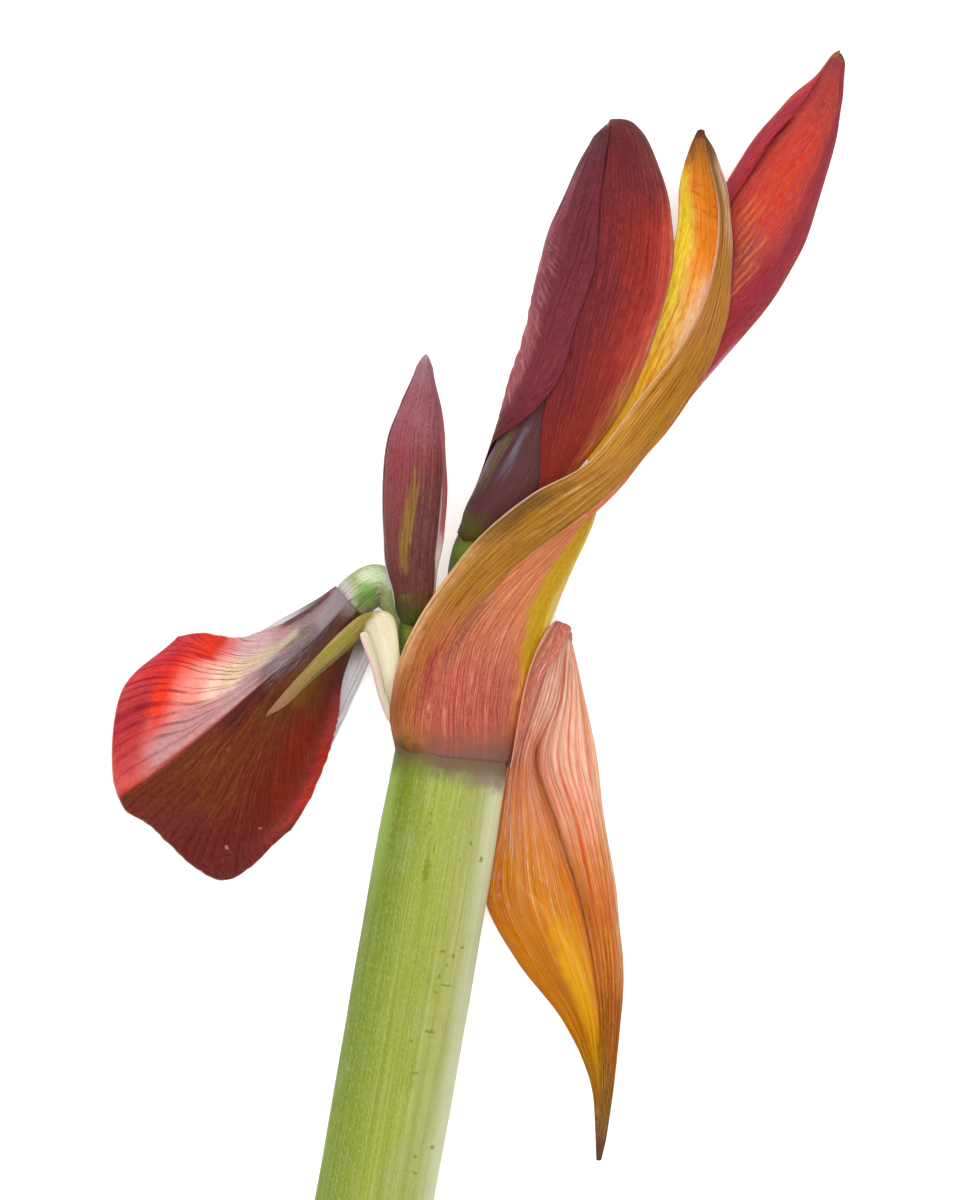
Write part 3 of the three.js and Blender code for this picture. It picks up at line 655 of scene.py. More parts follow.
def scape_points(profile, hollow):
    """Each ring is an oval of the profile's radius, with shallow lengthwise ribs on the skin."""
    angle = np.linspace(0, 2 * math.pi, SCAPE_SIDES, endpoint=False) + math.pi
    radius, length = profile[:, 0, None], profile[:, 1, None]
    ribs = 0.04 * np.sin(SKIN_RIBS * angle) + 0.09 * waves(np.sin(angle), length / 90, 3)
    wide = radius + ~hollow[:, None] * (ribs + 0.06 * waves(length / 40, np.cos(angle), 5))
    x = STEM_SHIFT + wide * np.sin(angle)
    z = STEM_HEIGHT + wide * STEM_FLATTENING * np.cos(angle)
    return np.stack([x, length + 0 * angle, np.maximum(z, 0)], -1), angle


def add_scape(material):
    """The rings of the profile joined by quads, with a pole that closes each end."""
    profile, hollow = scape_profile()
    rings, angle = scape_points(profile, hollow)
    poles = [[STEM_SHIFT, -BORE_STOP, STEM_HEIGHT], [STEM_SHIFT, PLUG_HEIGHT, STEM_HEIGHT]]
    points = np.concatenate([rings.reshape(-1, 3), poles])
    count = len(profile) * SCAPE_SIDES
    turn = np.tile(angle / (2 * math.pi) - 0.5, len(profile))
    fields = {
        "uv": np.stack([1 + points[:, 1] / STEM_LENGTH, np.append(turn, [0, 0])], 1),
        "inside": np.append(np.repeat(hollow, SCAPE_SIDES), [1, 0]),
        "edge": np.full(count + 2, FAR_FROM_EDGE),
    }
    faces = tube_faces(len(profile), SCAPE_SIDES, count, count + 1)
    return add_piece("scape_shaft", (points + COLLAR) * MM, faces, material, "scape", fields)


def lengthwise(tree, x, y, z, pitch, stretch, detail):
    """Noise drawn out along the scape: fine across it and slow along it."""
    place = vector(tree, calc(tree, "MULTIPLY", x, pitch), calc(tree, "MULTIPLY", y, stretch),
                   calc(tree, "MULTIPLY", z, pitch))
    return noise(tree, place, 1, detail, 0.6)


def scape_material():
    """Green on the left and pale on the right, partly painted light, with lengthwise lines, old scars and a
    lilac bloom.
    """
    paint = Paint("Scape, green with bloom", "#a6b049")
    tree = paint.tree
    place = add_node(tree, "ShaderNodeTexCoord", {}).outputs["Object"]
    x, y, z = add_node(tree, "ShaderNodeSeparateXYZ", {0: place}).outputs[:3]
    from_middle = calc(tree, "DIVIDE", calc(tree, "SUBTRACT", x, COLLAR[0] * MM), MM)
    from_collar = calc(tree, "DIVIDE", calc(tree, "SUBTRACT", y, COLLAR[1] * MM), MM)
    # partly painted light: greener and darker on the left side, paler on the right, as the light falls
    paint.wash("#809632", smooth(tree, from_middle, 0, -11))
    paint.wash("#b8bb79", smooth(tree, from_middle, -1, 11))
    lines = lengthwise(tree, x, y, z, 2600, 14, 3)
    cells = lengthwise(tree, x, y, z, 3600, 1100, 2)
    broad = lengthwise(tree, x, y, z, 420, 9, 2)
    clouds = lengthwise(tree, x, y, z, 90, 60, 3)
    paint.wash("#8f9f36", 0.5, smooth(tree, clouds, 0.5, 0.7))
    paint.wash("#a9b488", 0.35, smooth(tree, clouds, 0.5, 0.3))
    paint.wash("#839632", 0.45, smooth(tree, lines, 0.45, 0.72))
    paint.wash("#cdd6a0", 0.35, smooth(tree, lines, 0.5, 0.28))
    paint.wash("#ccd494", 0.35, smooth(tree, cells, 0.5, 0.66))
    paint.wash("#7f9430", 0.35, smooth(tree, broad, 0.5, 0.7))
    paint.wash("#8ca028", 0.6, smooth(tree, from_middle, -11, -13), smooth(tree, from_collar, -60, -110))
    paint.wash("#b8dc70", 0.9, smooth(tree, from_middle, -10, -13), smooth(tree, from_collar, -45, -12))
    # paler right edge: partly the bloom's own tone, partly painted light against the hanging valve's shade
    paint.wash("#e2e8cc", 0.8, smooth(tree, from_middle, 7.5, 12.5))
    paint.wash("#f2f4d8", 0.6, smooth(tree, from_middle, 7, 12), smooth(tree, from_collar, -40, -10))
    streak = paint.times(smooth(tree, paint.off(from_middle, -8.6, 1), 1, 0),
                         smooth(tree, from_collar, -26, -4))
    paint.wash("#869a20", 0.6, streak)
    for across, along, reach_across, reach_along in SCARS:
        near = calc(tree, "ADD", paint.off(from_middle, across, reach_across),
                    paint.off(from_collar, along, reach_along))
        paint.wash("#83891a", 0.75, smooth(tree, calc(tree, "ADD", near, paint.grain), 1.5, 0.7))
    bloom = smooth(tree, calc(tree, "MULTIPLY_ADD", paint.mottle, 2, from_collar), -6.5, 0)
    paint.wash("#78655a", 0.95, bloom, smooth(tree, from_middle, -9.5, -2))
    paint.wash("#a08a84", 0.8, bloom, smooth(tree, from_middle, 1, 9))
    paint.wash("#7c7e3a", 0.85, bloom, smooth(tree, from_middle, -3, -9.5))
    rim = calc(tree, "MULTIPLY_ADD", paint.mottle, 0.8, from_collar)
    paint.wash("#7c6650", 0.85, smooth(tree, rim, -3.2, -0.2))
    paint.wash("#e6e6c4", paint.inside)
    paint.lift(0.67, 0.66, 0.56)
    paint.relief(lines, 0.4)
    paint.relief(cells, 0.25)
    return paint.finish(roughness=0.5, glow=0.05, depth=0.15)


scape = add_scape(scape_material())
print("scape:", len(scape.data.vertices), "points")

# %% [markdown]
# The spathe valves
#
# Two papery sheaths once closed round the buds. One still stands and winds round them from the
# left, so that it shows its golden outside low down and its bright inside near the tip. The other
# has folded over and hangs beside the scape with a deep crease. The rows of both run from margin
# to margin, and the pleats between their veins are real waves of the sheet.

# %% Lay out the two valves
VALVE_THICKNESS = 0.5
UPRIGHT_GRID = (230, 96)
UPRIGHT_PLEATS = 17
UPRIGHT_PLEAT_HEIGHT = 0.1
UPRIGHT_LUMP_HEIGHT = 0.2
BAND_STEP = 0.8
TIP_CREASE_HEIGHT = 0.16
HANGING_GRID = (220, 88)
HANGING_PLEATS = 13
HANGING_PLEAT_HEIGHT = 0.16
HANGING_LUMP_HEIGHT = 0.18
CREASE_DEPTH = 0.6
VALVE_RING = 12.75
VALVE_SEATS = [-1.7, -1, 0, 0.8, 0.9]


def collar_arc(angles, radii, seats):
    """Points round the collar at angles from straight up, where a valve grows from its rim."""
    row = []
    for angle, radius, seat in zip(np.radians(angles), radii, seats):
        height = STEM_HEIGHT + radius * STEM_FLATTENING * math.cos(angle)
        row.append(beside_scape(radius * math.sin(angle), seat, height))
    return row


UPRIGHT_VALVE = [
    collar_arc([-97, -48, 0, 46, 92], [VALVE_RING] * 5, VALVE_SEATS),
    [[-14, 10, 14], [-9, 11.5, 24.5], [0.5, 13, 27], [9.5, 13.5, 24], [16, 15, 15]],
    [[-11, 23.5, 19.5], [-5.5, 24, 25.5], [3, 26, 27.5], [13, 26.5, 24.5], [20.5, 27, 17.5]],
    [[-5, 35, 24], [1, 35, 27], [10.5, 36.5, 27.5], [20, 39, 23.5], [26.4, 42, 18.5]],
    [[5, 48, 27], [12, 46, 29], [21.5, 47, 26.5], [27, 48.5, 22], [31.8, 55.5, 19]],
    [[17, 58, 28.5], [24.5, 55.5, 29], [33.5, 56.5, 25], [34.3, 61.8, 20.2], [29.8, 68.6, 15.8]],
    [[30, 65.5, 28], [37, 65, 28.5], [42.6, 66.8, 24.5], [41.5, 72, 20], [36, 80, 16]],
    [[41, 79.5, 28], [47, 77.5, 28.5], [52, 79.5, 24.5], [48.5, 86, 20], [41, 92, 16]],
    [[51, 92.5, 27.5], [55.5, 92, 28], [59, 93.5, 25], [54, 98.5, 21.2], [46, 104, 17.6]],
    [[56.5, 105.5, 27], [59, 105, 27], [61, 108, 25], [56.5, 112, 22], [49.5, 116.5, 19.5]],
    [[58.3, 119.5, 26.5], [60, 120, 26.5], [60.7, 121.5, 25], [56, 124, 23], [50, 126.5, 22.5]],
    [[56.3, 132, 25.5], [57.5, 132.3, 25.4], [57.6, 133, 24.5], [55, 133.5, 24], [51.9, 134, 23.5]],
    [[55.4, 138.4, 24.5], [55, 138.6, 24.5], [54.6, 138.7, 24.4], [54.2, 138.6, 24.3], [53.8, 138.4, 24.2]],
]
HANGING_VALVE = [
    collar_arc([78, 88, 99, 110, 120], [13.2, 13.2, 13.1, 13.1, 13], [-0.5] * 5),
    [[14.6, 9, 17.3], [16.4, 8.5, 14.2], [16.9, 9, 11.5], [16.2, 10, 10], [15.2, 10.5, 9]],
    [[16.8, 20, 18.8], [19.4, 18.7, 15], [20.3, 19.5, 12], [19.6, 20.5, 10.8], [18.3, 21, 10]],
    [[19.6, 26.5, 19.5], [23.5, 25, 16], [25, 26.5, 13.5], [24.5, 27.5, 12], [23, 27.5, 11]],
    [[22.4, 30, 16.2], [24, 29.6, 14], [25.3, 28.8, 12], [25.8, 27.8, 10.5], [25.7, 26.5, 9]],
    [[21.5, 26, 7.5], [23, 25.5, 8], [24.5, 25, 8], [26, 24, 7.5], [27, 23, 7]],
    [[16, 12.5, 6], [19.5, 13, 7], [22.5, 12.5, 6], [26, 13, 8], [29.5, 12.5, 6.5]],
    [[12, -2, 4.5], [15.5, -1.5, 5], [18, -1, 4], [25, -1, 8.5], [32, -0.5, 6]],
    [[9, -18, 4], [16, -17.5, 5], [22.5, -17, 4], [29, -16, 8.5], [34, -15.5, 6]],
    [[7, -32, 3], [17.5, -32.5, 4.5], [27, -32.5, 4], [32.5, -32.5, 8], [36.5, -32.5, 5.5]],
    [[14, -46, 3], [22.5, -46, 3], [30.5, -46, 4], [34.5, -46, 7], [38, -46, 5]],
    [[24, -59, 3], [28.5, -59, 3], [32.5, -59, 4], [35, -59, 6], [37.5, -59.5, 5]],
    [[30.5, -72.5, 2.5], [31.8, -72.5, 3], [33, -72.5, 3.5], [34.5, -72.5, 4.5], [36, -73, 4]],
    [[31.8, -84.5, 3], [32.5, -84.5, 3.2], [33.2, -84.5, 3.4], [33.9, -84.5, 3.5], [34.5, -84.5, 3.3]],
    [[32, -91, 3], [32.3, -91.1, 3], [32.6, -91.2, 3], [32.9, -91.1, 3], [33.2, -91, 3]],
]


def pleated(points, relief):
    """A sheet moved along its normals by a relief in millimetres."""
    return points + sheet_normals(points) * relief[..., None]


def upright_sheet():
    """The patch with faint pleats, slow lumps, creases near the tip and a fold beside the band."""
    u, v = grid(*UPRIGHT_GRID)
    points = patch(UPRIGHT_VALVE, u, v)
    fade = ease(u, 0.02, 0.12) * ease(u, 0.99, 0.85)
    pleats = (UPRIGHT_PLEAT_HEIGHT * np.sin(2 * math.pi * UPRIGHT_PLEATS * v + 2.5 * waves(u * 3, v, 11))
              * (0.6 + 0.4 * waves(u * 4, v * 6, 13)))
    course = 0.44 - 0.04 * ease(u, 0.2, 0.32)
    fold = BAND_STEP * ease(v, course + 0.01, course - 0.02) * ease(v, 0.1, 0.3) * bump(u, 0.37, 0.1)
    creases = (TIP_CREASE_HEIGHT * bump(v, 0.76, 0.18)
               * np.sin(260 * u + 9 * v + waves(u * 9, v * 6, 14)) * bump(u, 0.83, 0.06))
    lumpy = UPRIGHT_LUMP_HEIGHT * waves(u * 9, v * 3, 12)
    return pleated(points, (pleats + lumpy + creases) * fade + fold)


def hanging_sheet():
    """The valve's patch with faint pleats, and a sharper groove along its crease."""
    u, v = grid(*HANGING_GRID)
    points = patch(HANGING_VALVE, u, v)
    fade = ease(u, 0.02, 0.1) * ease(u, 0.99, 0.85)
    pleats = (HANGING_PLEAT_HEIGHT * np.sin(2 * math.pi * HANGING_PLEATS * v + 2.3 * waves(u * 3, v, 21))
              + HANGING_LUMP_HEIGHT * waves(u * 8, v * 3, 22))
    crease = CREASE_DEPTH * bump(v, 0.5 + 0.02 * np.sin(20 * u), 0.05)
    crease = crease * ease(u, 0.4, 0.5) * ease(u, 0.92, 0.85)
    return pleated(points, pleats * fade + crease)


print("upright valve:", len(UPRIGHT_VALVE), "rows, hanging valve:", len(HANGING_VALVE), "rows")

# %% [markdown]
# The colours of the valves
#
# The valves are half dried: rosy at the foot, salmon and gold above, and amber inside, where the
# light falls in and the inside is brightened by painted light and a painted glow. A single ramp along
# the blade could give the main change. But the real marks are patches with soft borders, so each is
# a wash with its own mask, and the veins lie over them all.

# %% Colour the upright valve
def upright_material():
    """Rosy foot, salmon middle, yellow right side, golden winding band; yellow to amber inside."""
    paint = Paint("Upright valve, gold and salmon", "#ba7e3c", 0.04)
    inside = paint.inside
    outside = paint.opposite(inside)
    fold = [(0.2, 0.44), (0.25, 0.43), (0.3, 0.405), (0.44, 0.395)]
    beyond = paint.times(paint.past(fold, 0.012), paint.along(0.17, 0.27))
    band = paint.opposite(beyond)
    paint.wash("#b96b2c", paint.area(0.04, 0.27, 0, 0.34, 0.1))
    paint.wash("#94601c", band, paint.area(0.25, 0.46, 0.08, 0.6, 0.05))
    paint.wash("#ecc296", paint.area(0.13, 0.33, 0, 0.09, 0.05))
    # painted shadow of the large bud on the top margin of the band
    paint.wash("#5c3c1a", paint.area(0.35, 0.44, 0, 0.12, 0.04))
    paint.wash("#e8b450", paint.area(0.5, 0.64, 0, 0.13, 0.04))
    paint.wash("#a46a04", paint.area(0.55, 0.7, 0.12, 0.5, 0.06))
    paint.wash("#b87c46", paint.area(0.66, 0.86, 0, 0.6, 0.05), 0.8)
    paint.wash("#c69268", paint.area(0.67, 0.8, 0, 0.06, 0.05))
    paint.wash("#f6cfbc", paint.past([(0.76, 0.38), (0.82, 0.24), (0.9, 0.14)], 0.05), paint.area(0.77, 0.96))
    paint.wash("#b85c4c", paint.area(0, 0.2, 0.36, 1, 0.09))
    paint.wash("#c66f58", paint.area(0.13, 0.3, 0.52, 1, 0.08))
    paint.wash("#c06a52", beyond, paint.area(0.2, 0.34, 0.4))
    paint.wash("#d7875a", beyond, paint.area(0.22, 0.5, 0.5, 1, 0.08), 0.9)
    paint.wash("#b54a4a", paint.spot(0.075, 0.54, 0.07, 0.36), 0.8)
    paint.wash("#a42234", paint.spot(0.125, 0.33, 0.06, 0.07))
    paint.wash("#9c5448", paint.spot(0.2, 0.44, 0.09, 0.07), 0.85)
    paint.wash("#d88a58", paint.area(0.25, 0.45, 0.4, 0.5, 0.02), beyond, 0.8)
    paint.wash("#e89c5c", paint.area(0.05, 0.2, 0.88, 1, 0.05))
    right_side = [(0.06, 0.98), (0.1, 0.92), (0.16, 0.84), (0.22, 0.76), (0.32, 0.7), (0.44, 0.64)]
    yellow = paint.past(right_side, 0.05)
    paint.wash("#cba31c", yellow, paint.along(0.06, 0.14), outside)
    paint.wash("#b08f22", paint.spot(0.25, 0.84, 0.03, 0.05), 0.7)
    paint.wash("#d4794a", paint.line([(0.1, 0.9), (0.16, 0.79), (0.22, 0.7), (0.32, 0.63)], 0.04), 0.6)
    foot = smooth(paint.tree, paint.soft_u, 0.055, 0.0)
    paint.wash("#624a22", foot, paint.across(0.5, 0.2))
    paint.wash("#84605a", foot, paint.across(0.2, 0.5), 0.9)
    # painted shade: a dark line under the band's edge, where it stands over the salmon part
    paint.wash("#84421f", paint.line([(0.25, 0.425), (0.3, 0.4), (0.44, 0.39)], 0.02), 0.8)
    paint.wash("#f6b85c", inside)
    paint.wash("#ecae88", inside, paint.area(0.48, 0.68, 0, 0.82, 0.08), 0.8)
    paint.wash("#dd7a0a", inside, paint.area(0.7, 0.9, 0, 0.86, 0.06))
    paint.wash("#efcb24", inside, paint.across(0.86, 0.93))
    paint.wash("#cdb41a", inside, paint.area(0.3, 0.6, 0.8), 0.9)
    paint.wash("#c06c04", inside, paint.along(0.79, 0.85), paint.across(0.97, 0.86))
    paint.wash("#94540a", inside, paint.along(0.85, 0.9))
    # painted shade: dark lines in the small creases of the inside near the tip
    folds = noise(paint.tree, vector(paint.tree, calc(paint.tree, "MULTIPLY", paint.v, 5),
                                     calc(paint.tree, "MULTIPLY", paint.u, 90)), 1, 2)
    paint.wash("#8a4804", 0.7, inside, smooth(paint.tree, folds, 0.55, 0.62),
               paint.area(0.78, 0.86, 0, 0.88, 0.03))
    paint.wash("#6e3a18", paint.along(0.89, 0.94))
    paint.wash("#6c3a2e", paint.along(0.95, 0.99))
    paint.lift(0.98, 1.05, 1.0, outside)
    # painted light: the inside is brightened beyond its tone, as if lit from behind
    paint.lift(1.5, 1.48, 1.1, inside)
    paint.lift(1.3, 1.25, 1.2, paint.area(0, 0.2, 0.9, 1, 0.05))
    grown = paint.along(0.01, 0.07)
    lines = paint.veins(34, 1)
    golden = paint.times(band, outside, paint.along(0.16, 0.28))
    paint.tissue(lines, "#a84a3c", "#f8b890", 1.3, paint.times(outside, grown, paint.opposite(golden)))
    paint.tissue(lines, "#8a4e10", "#e4bc58", 1.4, golden)
    paint.wash("#f2d8a0", 0.75, lines[1], lines[3], golden)
    paint.wash("#7c3810", 0.65, lines[0], golden)
    paint.wash("#b07a1c", 0.12, golden)
    paint.wash("#bc8c24", 0.3, golden, paint.mottle, paint.area(0.24, 0.9))
    paint.wash("#d89048", 0.5, lines[1], outside, paint.area(0.16, 0.36, 0, 0.4, 0.06))
    # the painted shadow of the large bud again, over the veins
    paint.wash("#5c3a18", 0.45, paint.area(0.34, 0.44, 0, 0.12, 0.04), outside)
    paint.wash("#6a3c1c", 0.5, paint.area(0.86, 0.96, 0, 0.2, 0.05), outside)
    paint.wash("#a02038", 0.6, lines[0], outside, paint.area(0.05, 0.26, 0.28, 0.62, 0.06))
    paint.wash("#f4a488", 0.4, lines[1], outside, paint.area(0.08, 0.34, 0.45, 0.8, 0.06))
    paint.wash("#74382c", 0.6, lines[0], outside, paint.spot(0.2, 0.45, 0.1, 0.09))
    paint.wash("#c6a81e", 0.75, yellow, paint.along(0.06, 0.14), outside)
    paint.wash("#e2cc44", 0.6, yellow, paint.along(0.1, 0.2), outside, lines[1])
    paint.wash("#a47a10", 0.55, yellow, paint.along(0.06, 0.14), outside, paint.grain)
    paint.wash("#efe2a4", 0.3, outside, paint.area(0.17, 0.4, 0.94, 1, 0.02))
    paint.wash("#b23c50", 0.35, lines[0], beyond, outside, paint.area(0.03, 0.3, 0.3, 0.8))
    inner = paint.veins(26, 5)
    paint.tissue(inner, "#d9601c", "#fbd090", 1.2, inside)
    paint.wash("#ee9a10", 0.35, inside, paint.area(0.7, 0.94, 0, 0.88, 0.05))
    paint.wash("#d84c20", 0.4, inside, inner[2], inner[3], paint.area(0.5, 0.8, 0.6, 0.86))
    # painted highlights: near-white dashes on the inside
    paint.wash("#fdf3ea", 0.9, inside, inner[3], paint.spot(0.64, 0.74, 0.09, 0.09))
    paint.wash("#f6dcc0", 0.7, paint.near_edge(0.7), outside, paint.area(0.14, 0.9))
    paint.wash("#6a3430", 0.75, paint.along(0.945, 0.985))
    # painted glow: the inside, up to near the tip, gives light of its own colour
    return paint.finish(roughness=0.5, glow=0.4, lit=paint.times(inside, paint.along(0.86, 0.7)), light=0.42)


upright = add_blade("spathe_valve_upright", upright_sheet(), VALVE_THICKNESS,
                    upright_material())
print("upright valve:", len(upright.data.polygons), "faces")


# %% Colour the hanging valve
def hanging_material():
    """Salmon flap outside; pinkish white, then orange, amber and brown inside, with red veins."""
    paint = Paint("Hanging valve, salmon and amber", "#d4745e", 0.04)
    inside = paint.inside
    outside = paint.opposite(inside)
    paint.wash("#e48a78", outside, paint.area(0.1, 0.3, 0.2), 0.8)
    paint.wash("#b8621c", outside, paint.area(0.09, 0.26, 0, 0.1, 0.04))
    paint.wash("#eb9660", inside)
    paint.wash("#fac0ac", inside, paint.along(0.52, 0.44))
    paint.wash("#f8c0a8", inside, paint.area(0.36, 0.56, 0.55, 1, 0.08))
    paint.wash("#e87c4c", inside, paint.area(0.46, 0.54, 0.14, 0.54, 0.04), 0.85)
    paint.wash("#e39a3c", inside, paint.area(0.59, 0.7, 0, 0.5))
    paint.wash("#d08608", inside, paint.past([(0.6, 0.02), (0.66, 0.4), (0.72, 0.5)], 0.06),
               paint.area(0.66, 0.84, 0, 0.5))
    paint.wash("#c87e08", inside, paint.area(0.6, 0.84, 0, 0.24, 0.08))
    paint.wash("#e4b016", inside, paint.spot(0.75, 0.35, 0.1, 0.14))
    paint.wash("#966004", inside, paint.area(0.7, 0.86, 0, 0.3))
    paint.wash("#cc7432", inside, paint.area(0.61, 0.84, 0.56))
    paint.wash("#9c4e24", inside, paint.area(0.74, 0.88, 0.52, 1, 0.05), 0.9)
    paint.wash("#7c5a18", inside, paint.area(0.77, 0.9, 0.5, 0.68, 0.04))
    paint.wash("#866404", inside, paint.area(0.79, 0.88, 0, 0.5, 0.04))
    paint.wash("#a8a468", inside, paint.area(0.84, 0.92, 0, 0.14, 0.03), 0.8)
    paint.wash("#e6b48e", inside, paint.area(0.36, 0.74, 0.92, 1, 0.05))
    crease = [(0.48, 0.52), (0.54, 0.54), (0.62, 0.55), (0.75, 0.53), (0.88, 0.5)]
    # painted shade along the crease: a broad orange brown band and a darker line in its valley
    paint.wash("#b35f12", inside, paint.line(crease, 0.04), 0.9)
    paint.wash("#a04c04", inside, paint.line(crease, 0.014), 0.8)
    shaded = [(0.6, 0.24), (0.64, 0.36), (0.7, 0.43), (0.78, 0.5)]
    paint.wash("#b9760c", 0.7, inside, paint.line(shaded, 0.02))
    sunlit = [(0.62, 0.2), (0.66, 0.32), (0.72, 0.39), (0.78, 0.45)]
    paint.wash("#fbd880", 0.6, inside, paint.line(sunlit, 0.02))
    paint.wash("#7a5632", paint.along(0.82, 0.88))
    paint.wash("#5c4a3a", paint.along(0.9, 0.97))
    paint.lift(1.02, 1.15, 1.0)
    paint.lift(1.12, 1.18, 1.25, paint.area(0.36, 0.5, 0.35, 0.72, 0.06))
    lines = paint.veins(24, 4)
    broad = paint.veins(13, 46)
    upper = paint.along(0.62, 0.54)
    paint.tissue(lines, "#c05444", "#fbd0c4", 1.4, outside)
    paint.tissue(lines, "#ec9476", "#fff0e8", 1.3, paint.times(inside, upper))
    paint.tissue(lines, "#cc6c28", "#f6b83c", 1.3, paint.times(inside, paint.opposite(upper)))
    paint.wash("#de5424", 0.85, inside, broad[0], paint.area(0.34, 0.68))
    paint.wash("#c4520c", 0.5, inside, lines[0], paint.area(0.48, 0.8))
    paint.wash("#d88408", 0.45, inside, paint.area(0.5, 0.88, 0, 0.55, 0.05))
    paint.wash("#eab818", 0.55, inside, paint.spot(0.76, 0.37, 0.13, 0.14))
    paint.wash("#704a44", 0.7, paint.along(0.9, 0.97))
    # painted shade: the crease's valley darkened again over the veins
    paint.wash("#7e3c08", 0.7, inside, paint.line(crease, 0.016))
    paint.wash("#fff6f0", 0.9, inside, lines[3], lines[1], paint.area(0.36, 0.62, 0.04, 0.5))
    paint.wash("#fce4cc", 0.5, inside, lines[3], lines[1], paint.along(0.84, 0.6))
    paint.wash("#f4c4b0", 0.6, paint.near_edge(0.8), paint.along(0.75, 0.5))
    return paint.finish(roughness=0.5, glow=0.4)


hanging = add_blade("spathe_valve_hanging", hanging_sheet(), VALVE_THICKNESS,
                    hanging_material())
print("hanging valve:", len(hanging.data.polygons), "faces")

# %% [markdown]
# The bracteoles
#
# Narrow pale leaves stand between the flower stalks. The broad one bends over the stalk of the
# drooping flower and its end curls up like a ribbon. They are fleshy, so they stay nearly smooth,
# with only a shallow channel along the middle.

# %% Lay out and colour the bracteoles
BRACTEOLE_THICKNESS = 0.55
BROAD_BRACTEOLE = [
    [beside_scape(-10.3, 3.6, 9.6), beside_scape(-9.2, 3.6, 10.3), beside_scape(-8.2, 3.6, 10.3)],
    [[-12.5, 6.7, 9.6], [-11.2, 7, 10.3], [-9.9, 7.5, 10]],
    [[-15, 13.5, 13], [-13, 14, 13.8], [-11.6, 14.5, 13.2]],
    [[-17.5, 22, 17], [-15, 22.7, 18], [-12, 23.4, 17]],
    [[-20, 28, 20.5], [-17.3, 30, 22.3], [-13.6, 31.6, 20.5]],
    [[-21, 26.2, 23], [-20.6, 29, 25], [-19.4, 32, 24]],
    [[-25, 22.3, 25.3], [-25, 25.3, 27], [-24.7, 28, 26.5]],
    [[-31.2, 17, 27.3], [-30.6, 19.8, 28.5], [-30, 22.5, 28]],
    [[-36.7, 11.8, 28.9], [-36.3, 13.8, 29.5], [-35.9, 16, 29.5]],
    [[-41, 9.4, 30.3], [-40.8, 9.9, 30.4], [-40.6, 10.4, 30.3]],
]
NARROW_BRACTEOLE = [
    [beside_scape(-11.2, 3.6, 11.2), beside_scape(-10.4, 3.6, 11.7), beside_scape(-9.6, 3.6, 11.9)],
    [[-14.2, 7.5, 11.2], [-13.4, 7.8, 11.5], [-12.5, 8.1, 11.6]],
    [[-16.4, 12.5, 14.5], [-15.6, 12.8, 15], [-15, 13.1, 15]],
    [[-18.2, 20, 20.5], [-17.3, 20.4, 21], [-16.5, 20.8, 20.5]],
    [[-20.3, 26, 25.3], [-19.4, 26.4, 25.6], [-18.5, 26.8, 25.3]],
    [[-20.5, 27.6, 26], [-19.9, 27.8, 26.2], [-19.3, 28, 26]],
]


def bracteole_material():
    """Whitish strap with green edge lines at the foot, then olive and pink where it curls."""
    paint = Paint("Bracteole, cream to olive pink", "#f5f0d6")
    paint.wash("#d8dc8c", 0.8, paint.opposite(paint.area(0, 1, 0.08, 0.94, 0.06)))
    paint.wash("#e0c8b0", 0.7, paint.along(0.3, 0.2))
    paint.wash("#968a24", paint.along(0.47, 0.54))
    paint.wash("#705030", paint.area(0.6, 0.86, 0, 0.2, 0.08), 0.9)
    paint.wash("#c0965a", paint.area(0.6, 0.75, 0.82), 0.8)
    paint.wash("#9a6a44", paint.along(0.7, 0.88), 0.7)
    paint.wash("#a8665a", paint.along(0.84, 0.97))
    lines = paint.veins(10, 8)
    paint.tissue(lines, "#b4905a", "#e8dcb0", 0.7, paint.along(0.3, 0.5))
    paint.relief(lines[0], 0.3)
    return paint.finish(roughness=0.5, glow=0.3, depth=0.2)


def narrow_material():
    """Pinkish white with a pale green channel."""
    paint = Paint("Narrow bracteole, pinkish white", "#efe0d4")
    paint.wash("#d6d6a8", 0.6, paint.across(0.3, 0.7))
    paint.wash("#e6b8ac", 0.8, paint.across(0.45, 0.05))
    paint.tissue(paint.veins(6, 9), "#d8bfa0", "#ffffff", 0.5)
    return paint.finish(roughness=0.5, glow=0.3, depth=0.15)


def channelled(stations, rows, columns, depth):
    """A strap with a channel along its middle, as deep as given."""
    u, v = grid(rows, columns)
    points = patch(stations, u, v)
    return pleated(points, -depth * bump(v, 0.5, 0.4) * ease(u, 0.95, 0.8))


add_blade("bracteole_broad", channelled(BROAD_BRACTEOLE, 120, 24, 0.25), BRACTEOLE_THICKNESS,
          bracteole_material())
add_blade("bracteole_narrow", channelled(NARROW_BRACTEOLE, 60, 14, 0.12), BRACTEOLE_THICKNESS,
          narrow_material())
print("bracteoles:", len(BROAD_BRACTEOLE), "and", len(NARROW_BRACTEOLE), "rows")

# %% [markdown]
# The buds
#
# A bud is six tepals furled round an axis: three outer ones that show, and three inner ones
# inside them. Each is a sheet wrapped round the axis between two angles that change along it. The
# angles are counted from straight up. The low margin of a tepal tucks under its neighbour and
# the high margin lies over the next, so it spirals a little outwards.

